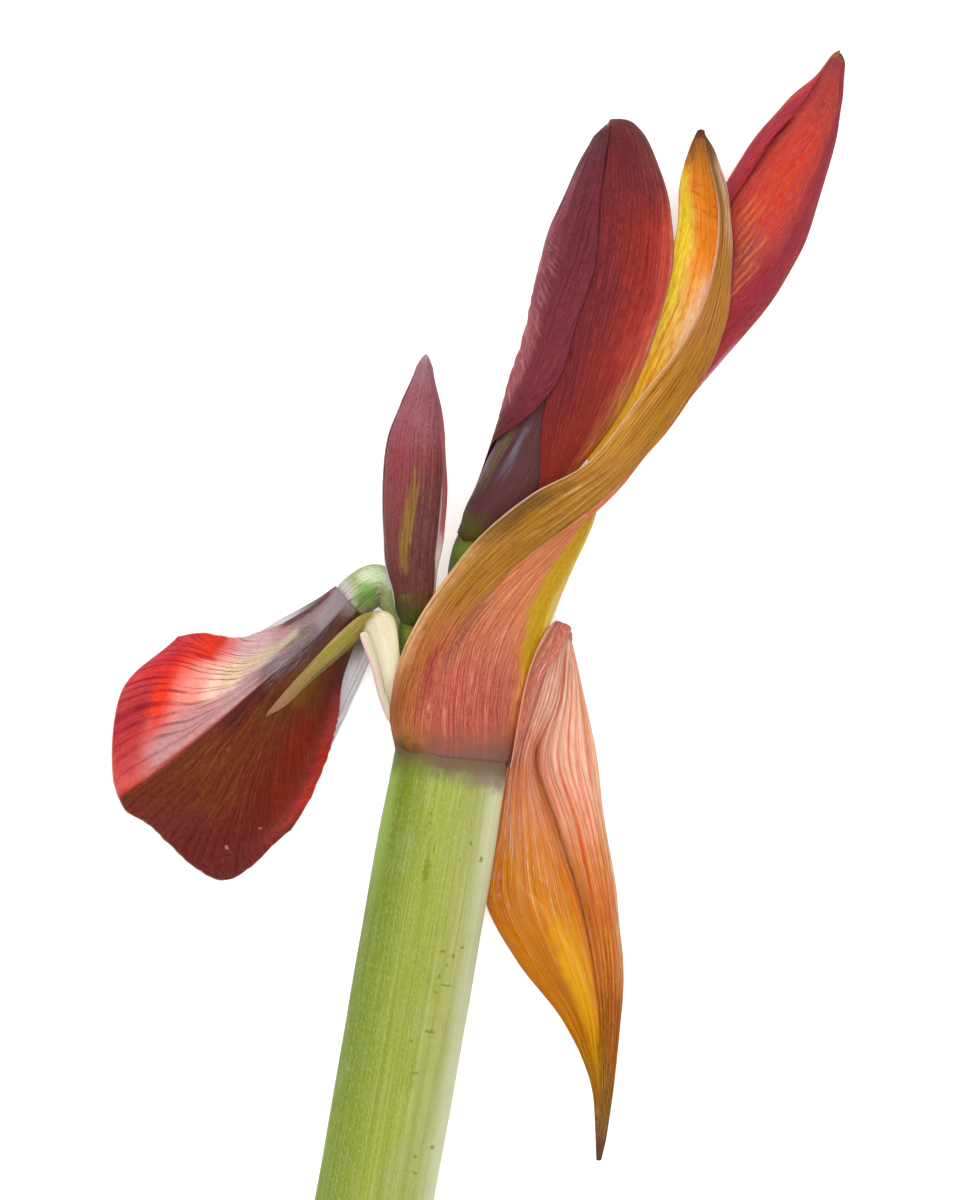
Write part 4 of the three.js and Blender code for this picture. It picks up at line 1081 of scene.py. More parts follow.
# %% Lay out the buds
BUDS = {
    "large_bud": {
        "axis": [
            [3.5, 48, 14.7, 4.6], [11, 57, 17.7, 7], [18.5, 68.5, 21, 9.8], [24, 79, 24, 12.2],
            [28.9, 91, 26, 13.3], [32.4, 103, 27.2, 13.9], [34.5, 112.5, 27.6, 13.6],
            [35.6, 119.5, 27.6, 12.1], [36.1, 126, 27.6, 10.1], [36.2, 133, 27.6, 7.4],
            [35.6, 137.5, 27.6, 4.8], [34.6, 140.5, 27.6, 1.7],
        ],
        "outer": [
            [[-150, -160, -165, -165, -165, -165, -165, -165, -165, -160, -150],
             [-112, -104, -42, -12, -13, -10, -15, -19, -21, -17, -12]],
            [[70, 58, 3, -20, -30, -30, -32, -34, -36, -34, -30],
             [150, 135, 115, 112, 112, 112, 112, 112, 112, 112, 110]],
            [[105, 100, 95, 95, 95, 95, 95, 95, 95, 95, 95],
             [215, 205, 205, 212, 212, 212, 212, 212, 212, 212, 212]],
        ],
        "ends": [0.985, 1, 0.98],
        "inner_reach": [0, 0.9],
        "inner_turn": -15,
        "inner_foot": 46,
        "size": [160, 80],
        "stalk": [
            [*beside_scape(-1.5, 4, 15.2), 3], [-0.4, 17, 15, 2.8], [1.2, 30.5, 15, 3], [2.1, 38, 15, 3.6],
            [2.8, 42.5, 14.8, 3.8], [3.4, 46, 14.6, 3.6], [4.1, 48.5, 14.7, 3.2], [5.2, 50, 15.2, 2.6],
        ],
    },
    "right_bud": {
        "axis": [
            [45, 78, 10.3, 4.7], [54, 95, 10.6, 8.5], [63.5, 109, 10.7, 10], [69.9, 122.5, 10.7, 10.3],
            [79.3, 141.2, 10.7, 6.5], [84.2, 151, 11, 2.9], [86.4, 157.4, 11.5, 1.2],
        ],
        "outer": [
            [[-60, -72, -72, -72, -72, -70, -62, -34, -42, -60, -60],
             [70, 80, 87, 87, 87, 87, 87, 87, 80, 65, 50]],
            [[60, 66, 70, 70, 70, 70, 70, 70, 62, 46, 30],
             [215, 222, 222, 222, 222, 222, 222, 222, 222, 222, 222]],
            [[205, 205, 205, 205, 205, 205, 205, 205, 205, 205, 205],
             [285, 290, 295, 300, 308, 317, 323, 332, 345, 345, 345]],
        ],
        "ends": [0.985, 0.98, 1],
        "flip": [0.64, 0.68],
        "inner_reach": [0.16, 0.74],
        "inner_turn": 75,
        "size": [150, 66],
        "stalk": [
            [*beside_scape(3, 4, 8.6), 2.8], [10, 23.5, 8.8, 2.7], [18, 39.5, 9, 2.8], [28.5, 55, 9.3, 3],
            [36, 65.5, 9.6, 4], [41, 72.5, 10, 4.2], [44, 76.5, 10.2, 3.7], [45.5, 79, 10.3, 3.1],
            [46.5, 81, 10.3, 2.5],
        ],
    },
    "small_bud": {
        "axis": [
            [-9, 29.5, 15.3, 3.2], [-8.7, 37, 18.8, 4.6], [-9.1, 43.5, 21, 5.7], [-8.9, 50.5, 22.5, 6.5],
            [-8.4, 60.5, 23.5, 6.9], [-8.2, 70, 24, 6], [-7.2, 77, 24, 4.4], [-6.6, 83.5, 24.5, 2.4],
            [-6, 89, 25, 1],
        ],
        "outer": [
            [[-108, -110, -112, -112, -112, -112, -112, -112, -112, -110, -105],
             [60, 62, 62, 58, 57, 58, 59, 60, 64, 66, 60]],
            [[42, 44, 44, 40, 38, 38, 38, 40, 44, 46, 40],
             [165, 170, 172, 172, 172, 172, 172, 172, 172, 172, 172]],
            [[150, 152, 152, 152, 152, 152, 152, 152, 152, 152, 152],
             [268, 264, 262, 262, 262, 262, 262, 262, 262, 264, 268]],
        ],
        "ends": [1, 0.985, 0.99],
        "inner_reach": [0.24, 0.78],
        "inner_turn": 50,
        "size": [110, 50],
        "stalk": [
            [*beside_scape(-6, 4, 16.8), 2], [-8.5, 14, 14.7, 2.2], [-9.1, 22, 14, 2.8],
            [-9.1, 26.5, 14.4, 3.1], [-9, 29.5, 15.3, 3], [-9, 31.5, 16.3, 2.3],
        ],
    },
}
print("buds:", list(BUDS))

# %% Wrap tepals round an axis
TEPAL_THICKNESS = 0.45
OVERLAP_LIFT = 0.35
FULL_LIFT_RADIUS = 4
INNER_WHORL_DROP = 1.1
FOOT_HUG = 0.75
TIP_ROUNDING = 0.06
SHORT_STEP = 0.001
DENT_DEPTH = 0.16
CRIMP_HEIGHT = 0.16
TEPAL_RIBS = 11
RIB_HEIGHT = 0.06
MIDRIB_HEIGHT = 0.3
SIDE_SWELL = 1.2
INNER_GRID = (56, 24)


def axis_frames(axis, u):
    """Place, upward normal, sideways direction and radius of a curved axis at each u."""
    at = curve(axis, u)
    ahead = curve(axis, u + SHORT_STEP)[..., :3] - curve(axis, u - SHORT_STEP)[..., :3]
    tangent = unit(ahead)
    normal = unit(np.array([0, 0, 1.0]) - tangent[..., 2:] * tangent)
    return at[..., :3], normal, np.cross(tangent, normal), at[..., 3]


def on_ring(frames, radius, angle):
    """Points round an axis, at an angle from straight up that grows to the right."""
    place, normal, side, _ = frames
    outward = np.cos(angle)[..., None] * normal + np.sin(angle)[..., None] * side
    return place + radius[..., None] * outward


def at_rows(values, u):
    """A value given at a few rows along the piece, at each u."""
    return curve(np.reshape(values, (-1, 1)), u)[..., 0]


def wrapped(axis, angle, u, reach, relief):
    """A tepal round its bud at given angles: it hugs the stalk at its foot and closes at its tip."""
    frames = axis_frames(axis, reach[0] + (reach[1] - reach[0]) * u)
    foot = FOOT_HUG + (1 - FOOT_HUG) * ease(reach[0] + u, 0, 0.05)
    tip = np.sqrt(1 - np.clip((u - 1 + TIP_ROUNDING) / TIP_ROUNDING, 0, 0.99) ** 2)
    radius = frames[3] * foot * tip
    return on_ring(frames, radius + relief * np.minimum(1, radius / FULL_LIFT_RADIUS), angle)


def lumps(u, angle, seed):
    """Slow dents that all tepals of a bud share, so that none of them pokes through its neighbour."""
    return DENT_DEPTH * waves(u * 4 + 0.4 * np.cos(angle), 1.2 * np.sin(angle), seed)


def crimps(u, v):
    """Fine oblique folds down the free side of the large bud's left tepal."""
    where = bump(u, 0.34, 0.26) * ease(v, 0.95, 0.6)
    return CRIMP_HEIGHT * where * np.sin(2 * math.pi * (30 * u + 8 * v + 0.7 * waves(u * 5, v * 3, 31)))


def bud_outer(bud, k, seed):
    """The grid of one outer tepal: its low margin is tucked in and its high margin lies over."""
    u, v = grid(*bud["size"])
    low, high = bud["outer"][k]
    angle = np.radians(at_rows(low, u) + (at_rows(high, u) - at_rows(low, u)) * v)
    over = 2 * v - 1
    if "flip" in bud:
        flip = ease(u, *bud["flip"])
        over += flip * 2 * (ease(v, 0.35, 0) if k == 0 else -ease(v, 0.6, 1) if k == 2 else 0)
    ribs = RIB_HEIGHT * np.sin(2 * math.pi * TEPAL_RIBS * v + waves(u * 2, v, seed)) * ease(v, 0.04, 0.2)
    midrib = MIDRIB_HEIGHT * bump(v, 0.5, 0.12) * ease(u, 1, 0.7) * ease(u, 0.1, 0.4)
    relief = OVERLAP_LIFT * over + (ribs + midrib) * ease(u, 0, 0.1) + lumps(u, angle, seed // 10)
    if k == 0 and bud is BUDS["large_bud"]:
        relief += crimps(u, v)
    if k == 2 and bud is BUDS["right_bud"]:
        relief += SIDE_SWELL * bump(u, 0.6, 0.1) * ease(v, 0.4, 0.8)
    return wrapped(bud["axis"], angle, u, [0, bud["ends"][k]], relief)


def bud_inner(bud, k):
    """The grid of one inner tepal, a third of a turn from the last."""
    u, v = grid(*INNER_GRID)
    foot = bud.get("inner_foot", 0) if k == 0 else 0
    spread = at_rows([38, 46, 34], u) + foot * ease(u, 0.3, 0.1)
    angle = np.radians(bud["inner_turn"] + 120 * k + spread * (2 * v - 1))
    drop = INNER_WHORL_DROP - 0.9 * np.sign(foot) * ease(u, 0.3, 0.1) * ease(v, 0.75, 0.45)
    return wrapped(bud["axis"], angle, u, bud["inner_reach"], -drop)


print("middle of the large bud:", curve(BUDS["large_bud"]["axis"], 0.5).round(1), "mm")


# %% Turn stalks round an axis
OVARY_LOBES = 0.07
STALK_MESH = (70, 28)


def stem_points(axis, rings, sides, lobes=0.0):
    """Rings round an axis, with three shallow lobes where the ovary is widest."""
    u, turn = np.meshgrid(np.linspace(0, 1, rings), np.arange(sides) / sides, indexing="ij")
    frames = axis_frames(axis, u)
    angle = 2 * math.pi * (turn + 0.5)
    thick = frames[3] / np.max(frames[3])
    radius = frames[3] * (1 + lobes * ease(thick, 0.75, 1) * np.cos(3 * angle))
    return on_ring(frames, radius, angle), u, turn


def add_stem(name, axis, rings, sides, material, slot, node, lobes=0.0):
    """A round stalk along a curved axis, closed at both ends."""
    points, u, turn = stem_points(axis, rings, sides, lobes)
    axis = np.array(axis, float)
    vertices = in_frame(np.concatenate([points.reshape(-1, 3), axis[[0, -1], :3]]))
    count = rings * sides
    fields = {
        "uv": np.concatenate([np.stack([u, turn], -1).reshape(-1, 2), [[0, 0], [1, 0]]]),
        "inside": np.zeros(count + 2),
        "edge": np.full(count + 2, FAR_FROM_EDGE),
    }
    return add_piece(name, vertices, tube_faces(rings, sides, count, count + 1), material, node, fields)


print("thickest stalk:", max(row[3] for bud in BUDS.values() for row in bud["stalk"]), "mm in radius")

# %% [markdown]
# The colours of the buds
#
# The outer tepals are plum to crimson, and redder where the light reached them. One material with
# a random tint could serve all buds, but it would make them look alike. So each bud has washes of
# its own, and only the deeper tepals, of which little shows, share a dark one, partly painted shade.

# %% Colour the large bud
def large_left_material():
    """Dark plum, with a painted pinkish sheen where it is crimped low on the free side, a painted shadow
    along the seam, and a brown foot.
    """
    paint = Paint("Large bud, left tepal", "#6d303a")
    paint.wash("#a04a54", paint.area(0.3, 0.8, 0.6, 0.74, 0.04), 0.8)
    paint.wash("#84383e", paint.area(0.2, 0.45, 0.72, 1, 0.08), 0.6)
    # painted sheen: pinkish light on the crimped free side
    paint.wash("#b8686a", paint.area(0.2, 0.4, 0.4, 0.74, 0.05), 0.9)
    paint.wash("#6c3430", paint.area(0, 0.22, 0.7))
    # painted sheen: a grey pink streak low by the foot
    paint.wash("#a88480", paint.area(0, 0.2, 0, 0.72))
    paint.wash("#5c393b", paint.along(0.7, 0.86))
    paint.lift(0.78, 0.74, 0.78)
    lines = paint.veins(46, 12, 0.5, 1.2)
    paint.tissue(lines, "#8c5058", "#a84050", 1.1)
    across_folds = calc(paint.tree, "MULTIPLY_ADD", paint.u, 130, calc(paint.tree, "MULTIPLY", paint.v, 22))
    place = vector(paint.tree, across_folds, calc(paint.tree, "MULTIPLY", paint.v, 5))
    crimped = noise(paint.tree, place, 1, 2)
    crimped = paint.times(smooth(paint.tree, crimped, 0.48, 0.68), paint.area(0.13, 0.56, 0, 0.74, 0.07))
    # painted highlights on the crimps; the same mask also raises them as relief
    paint.wash("#dc9896", 0.4, crimped)
    # painted sheen along the left rim
    paint.wash("#b45c64", 0.5, paint.area(0.16, 0.62, 0, 0.6, 0.05))
    paint.wash("#60242e", 0.4, paint.area(0.36, 0.56, 0.62, 0.8, 0.06))
    paint.relief(crimped, 0.7)
    paint.wash("#ecd2d0", 0.6, paint.near_edge(0.5), paint.across(0.7, 0.5))
    # painted shadow: a dark line along the seam where this tepal's margin lies over the next
    paint.wash("#4a1f26", 0.6, paint.near_edge(0.45), paint.across(0.7, 0.9))
    return paint.finish(roughness=0.48, glow=0.2)


def large_right_material():
    """Plum at the tip, with painted shade by the seam, crimson to red on the right and brighter there as
    painted light, orange and gold low down, the gold partly a painted reflection of the valve.
    """
    paint = Paint("Large bud, right tepal", "#74292f")
    paint.wash("#93332f", paint.area(0.1, 0.68, 0.3, 1, 0.12))
    paint.wash("#b23830", paint.area(0.28, 0.68, 0.46, 1, 0.1))
    # partly painted light: the right side made brighter red
    paint.wash("#e25844", paint.area(0.34, 0.66, 0.6, 1, 0.06), 0.95)
    paint.wash("#f49a8c", paint.area(0.34, 0.8, 0.72, 1, 0.04))
    paint.wash("#a45c2c", paint.area(0.12, 0.31, 0.56, 1, 0.07))
    paint.wash("#8a3228", paint.area(0.12, 0.3, 0.06, 0.5, 0.08))
    # partly a painted reflection of the yellow valve beside the bud
    paint.wash("#e8b83c", paint.area(0.23, 0.34, 0.64, 1, 0.05), 0.9)
    paint.wash("#74383c", paint.along(0.6, 0.76), 0.9)
    paint.wash("#603a3c", paint.along(0.78, 0.9))
    # painted shade: a dark plum band beside the seam, under the left tepal's margin
    paint.wash("#6b2833", paint.spot(0.45, 0.14, 0.3, 0.16), 0.8)
    paint.wash("#553538", paint.along(0.16, 0.1))
    paint.wash("#c07038", 0.8, paint.area(0.13, 0.29, 0.48, 1, 0.06))
    paint.lift(0.82, 0.84, 0.86)
    lines = paint.veins(52, 15, 0.3, 1.6)
    paint.tissue(lines, "#8c4850", "#c04034", 1.1)
    paint.wash("#f0705a", 0.6, lines[1], paint.area(0.34, 0.8, 0.55))
    paint.wash("#e8a868", 0.7, lines[1], paint.area(0.15, 0.36, 0.5))
    paint.wash("#5c1c24", 0.4, lines[0], paint.area(0.3, 0.9))
    paint.wash("#541620", 0.4, paint.area(0.72, 0.9, 0, 0.42, 0.08))
    paint.wash("#ecc4b4", 0.5, paint.near_edge(0.5), paint.along(0.5, 0.6))
    return paint.finish(roughness=0.48, glow=0.2)


def dark_tepal_material():
    """Dark brown maroon, partly painted shade, with an olive streak and a grey blue painted sheen, for tepals
    that lie deeper.
    """
    paint = Paint("Bud, deeper tepal", "#59363a")
    lines = paint.veins(34, 18, 0.5, 1.2)
    paint.wash("#85804a", 0.8, paint.area(0.1, 0.24, 0.2, 0.32, 0.04), lines[2])
    # painted sheen: grey blue and lilac light on the deeper tepal
    paint.wash("#7c8090", 0.6, paint.area(0.14, 0.26, 0.38, 0.46, 0.03), lines[2])
    paint.wash("#a894a0", 0.5, paint.area(0.05, 0.2, 0, 0.2, 0.05))
    paint.wash("#5c5a24", paint.along(0.08, 0.02))
    paint.lift(0.88, 0.92, 0.9)
    paint.tissue(lines, "#7c5458", "#7c4a4c", 0.7)
    return paint.finish(roughness=0.48, glow=0.1)


LARGE_LEFT = large_left_material()
LARGE_RIGHT = large_right_material()
DARK_TEPAL = dark_tepal_material()
print("large bud:", LARGE_LEFT.name, "|", LARGE_RIGHT.name, "|", DARK_TEPAL.name)


# %% Colour the right bud
def right_bud_material(name, bright=1.0):
    """Bright red, orange in the middle, salmon on the left, crimson on the right, grey at the tip."""
    paint = Paint(name, "#b03b3e")
    paint.wash("#c2644c", paint.area(0.24, 0.46, 0, 0.56, 0.08))
    paint.wash("#dc3a22", paint.spot(0.56, 0.42, 0.2, 0.34))
    paint.wash("#a03840", paint.area(0.2, 0.74, 0.66, 1, 0.08))
    paint.wash("#b4574e", paint.along(0.24, 0.14), 0.6)
    lines = paint.veins(40, 22, 0.2, 1.4)
    for k in range(8):
        start, across, length = 0.44 - 0.024 * k, 0.28 + 0.036 * k, 0.07 + 0.02 * (k % 3)
        gold = paint.line([(start, across), (start + length, across + 0.6 * length)], 0.018 - 0.003 * (k % 2))
        paint.wash("#e89c48", 0.85, gold, smooth(paint.tree, paint.mottle, -0.3, 0.5))
    paint.wash("#84506a", 0.6, lines[1], paint.area(0.24, 0.66, 0.1, 0.8))
    paint.wash("#9c4246", paint.area(0.72, 0.9, 0, 1, 0.08), 0.8)
    paint.wash("#95545a", paint.area(0.86, 0.96, 0, 1, 0.06), 0.7)
    paint.wash("#8c7a50", paint.along(0.93, 0.98))
    paint.wash("#d8c4c6", 0.8, paint.area(0, 0.2, 0.9, 1, 0.04))
    paint.wash("#4c3a30", 0.8, paint.along(0.985, 1))
    # a bright above 1 paints light on a tepal whose side lies in shade
    paint.lift(0.86 * bright, 0.7 * bright, 0.92 * bright)
    paint.tissue(lines, "#8c3450", "#e04c34", 1.2)
    paint.wash("#8e4064", 0.5, lines[0], paint.area(0.2, 0.7, 0.1, 0.9))
    paint.wash("#f07048", 0.45, lines[3], paint.area(0.4, 0.9, 0.1, 0.7))
    paint.wash("#6a1c28", 0.6, paint.near_edge(0.6), paint.area(0.2, 0.85))
    return paint.finish(roughness=0.48, glow=0.28)


RIGHT_BUD = right_bud_material("Right bud, bright red")
# a copy with painted light, for the tepal on the side that lies in shade
RIGHT_BUD_PAINTED_LIGHT = right_bud_material("Right bud, side with painted light", 1.5)
print("right bud:", RIGHT_BUD.name, "|", RIGHT_BUD_PAINTED_LIGHT.name)


# %% Colour the small bud
def small_bud_material():
    """Brown maroon with an olive streak, mauve above and green at the foot, with a pale rim."""
    paint = Paint("Small bud, plum", "#804240")
    paint.wash("#92484c", paint.area(0.44, 0.66, 0.1, 0.66, 0.08), 0.7)
    paint.wash("#9f646e", paint.along(0.54, 0.72))
    paint.wash("#63403b", paint.area(0.2, 0.5, 0.64, 1, 0.08))
    paint.wash("#643c36", paint.along(0.36, 0.2))
    paint.wash("#5b4a22", paint.along(0.2, 0.1))
    paint.wash("#525220", paint.along(0.12, 0.03))
    paint.wash("#6a7a24", paint.spot(0.13, 0.5, 0.03, 0.12), 0.6)
    paint.wash("#a47a84", paint.along(0.8, 0.92))
    paint.wash("#b8a8ac", paint.along(0.94, 0.99))
    paint.lift(0.84, 0.88, 0.82, paint.along(0.6, 0.45))
    lines = paint.veins(34, 27, 0.5, 1.0)
    paint.tissue(lines, "#7c3c48", "#b05c60", 1.2)
    olive = paint.line([(0.24, 0.55), (0.34, 0.57), (0.42, 0.6), (0.54, 0.67)], 0.09)
    paint.wash("#80601c", 0.35, olive, paint.area(0.22, 0.5))
    paint.wash("#94782c", 0.7, olive, lines[1])
    for start, end in (((0.25, 0.53), (0.38, 0.545)), ((0.23, 0.565), (0.46, 0.59)),
                       ((0.3, 0.6), (0.55, 0.655)), ((0.34, 0.64), (0.5, 0.68))):
        streak = smooth(paint.tree, paint.mottle, -0.6, 0.5)
        paint.wash("#94802c", 0.45, paint.line([start, end], 0.022), streak)
    paint.wash("#5c2430", 0.9, olive, lines[0])
    paint.wash("#96304a", 0.5, paint.spot(0.6, 0.42, 0.16, 0.22), lines[2])
    paint.wash("#44491a", 0.9, paint.along(0.16, 0.04))
    paint.wash("#ece0de", 0.9, paint.near_edge(0.7), paint.area(0.05, 0.5))
    paint.wash("#d8a0a4", 0.5, paint.near_edge(0.5), paint.along(0.5, 0.6))
    return paint.finish(roughness=0.48, glow=0.2)


def small_side_material():
    """The pinkish red tepal that shows as a strip behind the right side of the small bud, made brighter as
    painted light.
    """
    paint = Paint("Small bud, side tepal", "#c8636a")
    paint.wash("#ecdcd8", paint.along(0.42, 0.3))
    paint.wash("#575820", paint.along(0.12, 0.04))
    # painted light: this strip lies in shade and is made brighter
    paint.lift(1.2, 1.4, 1.4)
    paint.tissue(paint.veins(20, 28), "#b06064", "#f0b0b0", 0.8)
    return paint.finish(roughness=0.48, glow=0.4)


SMALL_BUD = small_bud_material()
SMALL_SIDE = small_side_material()
print("small bud:", SMALL_BUD.name, "|", SMALL_SIDE.name)


# %% Colour the stalks
def stalk_material():
    """Dark fresh green with fine lines, brighter on the ovary."""
    paint = Paint("Stalk and ovary, green", "#55601e")
    paint.wash("#6c7a28", paint.spot(0.7, 0.5, 0.14, 0.2))
    paint.wash("#57481f", paint.along(0.8, 0.95), 0.8)
    paint.tissue(paint.veins(20, 33), "#8c9060", "#a0aa5c", 0.6)
    return paint.finish(roughness=0.45, glow=0.1, depth=0.15)


def drooping_stalk_material():
    """Green, with a painted whitish highlight on top where it bends, a bright green patch and grey lilac by
    the flower.
    """
    paint = Paint("Stalk of the drooping flower", "#9aa066")
    # painted highlight: whitish light on top of the bend
    paint.wash("#cfdfb6", paint.spot(0.64, 0.58, 0.13, 0.16))
    paint.wash("#e6ecd6", paint.spot(0.6, 0.56, 0.06, 0.07))
    paint.wash("#6aa428", paint.spot(0.77, 0.45, 0.12, 0.1))
    paint.wash("#bcb6ba", paint.area(0.8, 1, 0.5, 0.8, 0.05))
    paint.wash("#8f7f62", paint.area(0.66, 1, 0, 0.36, 0.05), 0.8)
    paint.wash("#a99ca4", paint.along(0.82, 0.93), 0.9)
    paint.lift(1.15, 1.2, 1.1)
    lines = paint.veins(22, 36)
    paint.tissue(lines, "#9a8e84", "#e2e0d8", 0.8)
    paint.wash("#5c3a3c", 0.8, lines[0], paint.along(0.72, 0.9))
    paint.wash("#4a3a2c", 0.6, lines[2], paint.area(0.6, 1, 0, 0.5, 0.06))
    return paint.finish(roughness=0.45, glow=0.2, depth=0.15)


STALK = stalk_material()
BENT_STALK = drooping_stalk_material()
print("stalks:", STALK.name, "|", BENT_STALK.name)

# %% Add the buds
BUD_PAINTS = {
    "large_bud": [LARGE_LEFT, LARGE_RIGHT, DARK_TEPAL],
    "right_bud": [RIGHT_BUD, RIGHT_BUD, RIGHT_BUD_PAINTED_LIGHT],
    "small_bud": [SMALL_BUD, SMALL_SIDE, SMALL_BUD],
}


def add_bud(name, bud, paints, seed):
    """Three outer and three inner tepals, a third of a turn apart, and the stalk under them."""
    for k in range(3):
        points = bud_outer(bud, k, seed + 3 * k)
        add_blade(f"{name}_outer_tepal_{k + 1}", points, TEPAL_THICKNESS, paints[k])
        add_blade(f"{name}_inner_tepal_{k + 1}", bud_inner(bud, k), TEPAL_THICKNESS, DARK_TEPAL)
    node = f"{name}_stalk"
    add_stem(f"{node}_stem", bud["stalk"], *STALK_MESH, STALK, "stalk", node, OVARY_LOBES)


for number, (bud_name, bud_parts) in enumerate(BUDS.items()):
    add_bud(bud_name, bud_parts, BUD_PAINTS[bud_name], 40 + 10 * number)

# %% [markdown]
# The drooping flower
#
# The last flower hangs to the left on a bent stalk. Its front tepal is large and keeled: above the
# keel the light shines through it, red with a pale star, and below the keel it lies over the others
# and is dark. Two pale tepals show behind it, and the stamens and the style lie inside. The tepals
# grow from a ring round the floral tube, so their first rows are worked out from it.

# %% Lay out the drooping flower
TUBE_MOUTH = [[-19.7, 37.2, 12.6, 4.6], [-23, 34.3, 12.6, 4.6], [-26.6, 31.1, 12.6, 4.6]]
OUTER_TUBE = 4.9
INNER_TUBE = 3.7


def tube_arc(radius, angles):
    """Points on the floral tube's mouth at angles from straight up."""
    angles = np.radians(angles)
    frames = axis_frames(TUBE_MOUTH, np.full(angles.shape, 0.5))
    return on_ring(frames, np.full(angles.shape, float(radius)), angles).tolist()


DROOPING_TEPALS = {
    "outer_tepal_1": [
        tube_arc(OUTER_TUBE, [75, 45, 5, -30, -55, -80]),
        [[-32, 33, 17.5], [-31, 30, 21.5], [-30.5, 26.5, 24],
         [-28.5, 22.5, 22.5], [-26, 20, 19.5], [-24.5, 18, 15]],
        [[-40, 29, 19], [-39.5, 25, 23.5], [-40.5, 18, 27.5],
         [-36.5, 10.5, 25], [-31.5, 6, 20.5], [-25.5, 10, 13]],
        [[-47.5, 26.5, 19], [-49, 21.5, 24], [-51, 9, 28.5],
         [-45, -1.5, 24], [-37, -7.5, 17.5], [-28, 0.5, 10]],
        [[-54.5, 27.5, 17], [-60.5, 20.5, 21], [-62.5, 0, 26],
         [-54.5, -12, 18.5], [-44, -18.5, 11], [-32, -9, 7]],
        [[-61.5, 27, 13], [-74, 14, 14], [-74.8, -7.8, 19],
         [-64.3, -19.3, 11], [-51.5, -28, 3.5], [-36.5, -17, 4]],
    ],
    "outer_tepal_2": [
        tube_arc(OUTER_TUBE, [88, 106, 122, 140]),
        [[-31.5, 34.5, 11.5], [-30.8, 32, 12.3], [-30.3, 30, 12], [-29.8, 28.3, 11]],
        [[-40.5, 29.5, 11], [-39.3, 26, 13], [-38.3, 22.5, 13], [-37.3, 19, 12.2]],
        [[-49, 24, 10], [-48, 19, 12], [-47, 14.5, 12.6], [-45.5, 10, 11.8]],
        [[-57.5, 17.5, 9], [-56, 12, 10.5], [-54, 8, 11.5], [-52, 3.5, 10.5]],
        [[-63, 9.5, 8], [-61.5, 7, 8.5], [-60.2, 5, 9], [-58.5, 2.5, 8.5]],
    ],
    "outer_tepal_3": [
        tube_arc(OUTER_TUBE, [-142, -125, -108, -92]),
        [[-24, 26, 8], [-22, 25, 7.3], [-19.5, 25, 7.5], [-17.5, 25.8, 8.5]],
        [[-28.5, 17, 7], [-25.5, 16.5, 6.2], [-22.5, 17.5, 6.3], [-19.5, 19.5, 8]],
        [[-34, 7, 6.5], [-30.5, 6.5, 5.4], [-27, 7.8, 5.5], [-23, 11.5, 7]],
        [[-39.5, -3, 6], [-36, -3.5, 4.8], [-32.5, -2.5, 4.8], [-27.5, 2, 6]],
        [[-42.5, -9.5, 5], [-39.5, -10.5, 4], [-36.5, -10.2, 4], [-33, -8.5, 4.6]],
    ],
    "inner_tepal_1": [
        tube_arc(INNER_TUBE, [100, 75, 50, 28]),
        [[-30.5, 32.2, 15.5], [-30, 30.5, 17.5], [-30, 28.5, 18.8], [-29.5, 26.5, 19]],
        [[-38.5, 26.5, 16], [-38.5, 23.5, 18.5], [-38, 20.5, 20], [-37.5, 17, 19.5]],
        [[-46, 22.5, 15.5], [-47, 18, 18], [-47, 13.5, 20], [-46, 8.5, 19]],
        [[-53.5, 19, 14], [-55, 13, 16], [-55.5, 8, 18], [-55, 2.5, 17]],
        [[-58.5, 15, 13], [-60.5, 10.5, 14], [-62, 6, 15.5], [-61, 2, 15.5]],
    ],
    "inner_tepal_2": [
        tube_arc(INNER_TUBE, [-28, -52, -76, -100]),
        [[-27.5, 24.2, 17], [-26.5, 22.3, 15.3], [-25.5, 20.8, 13], [-24.8, 19.8, 11]],
        [[-36, 13, 18], [-33, 10.3, 15.3], [-30, 9.5, 12], [-27, 11, 9.8]],
        [[-43.5, 0.5, 18], [-40, -3, 14], [-35.5, -3.2, 10.5], [-31, -0.2, 8.4]],
        [[-51.5, -9.5, 12.5], [-47, -13.5, 9], [-42, -14, 6.8], [-37, -10, 6.2]],
        [[-56, -17, 8], [-52.5, -20, 5.8], [-48, -21, 4.8], [-43, -19.5, 4.6]],
    ],
    "inner_tepal_3": [
        tube_arc(INNER_TUBE, [158, 173, 187, 202]),
        [[-30, 28.5, 7], [-28.5, 26.8, 6], [-27.2, 25, 6], [-26, 23, 6.2]],
        [[-40.5, 21.5, 5], [-37.5, 16.5, 2.8], [-34.5, 11.5, 2.8], [-31.5, 7.3, 4]],
        [[-51, 12.5, 4.5], [-47.5, 5, 1], [-43.5, -1.8, 1], [-39.5, -7, 2.6]],
        [[-61, 2.5, 4], [-57, -6, 0.2], [-52, -13, 0.2], [-46.5, -17, 1.2]],
        [[-67, -7.5, 4.5], [-63.5, -12, 1.5], [-59, -17.5, 0.6], [-53, -22, 1]],
    ],
}
DROOPING_STALK = [
    [*beside_scape(-6, 4.3, 7.8), 2.6], [-8.5, 15, 7.2, 2.4], [-10.8, 25.5, 7.2, 2.4],
    [-12.2, 32.3, 8.4, 3.1], [-14.4, 36.4, 9.8, 4.1], [-17.4, 38.3, 11.4, 4.5], [-20.3, 36.7, 12.3, 4.7],
    [-22.8, 34.5, 12.6, 4.5], [-24.6, 32.9, 12.6, 3.4],
]
FILAMENT_ENDS = [
    [-46, -2, 12], [-43.5, -5.5, 10.5], [-41, -7, 8.5], [-42.5, -3, 6.5], [-46, 0, 7], [-48, 1, 9],
    [-50, -8, 9],
]
FILAMENT_RADIUS = 0.6
FILAMENT_RING = 1.1
FILAMENT_SAG = [(-0.02, 0), (0.3, 0.4), (0.6, 0.4), (1, 0)]
STAMENS = 6
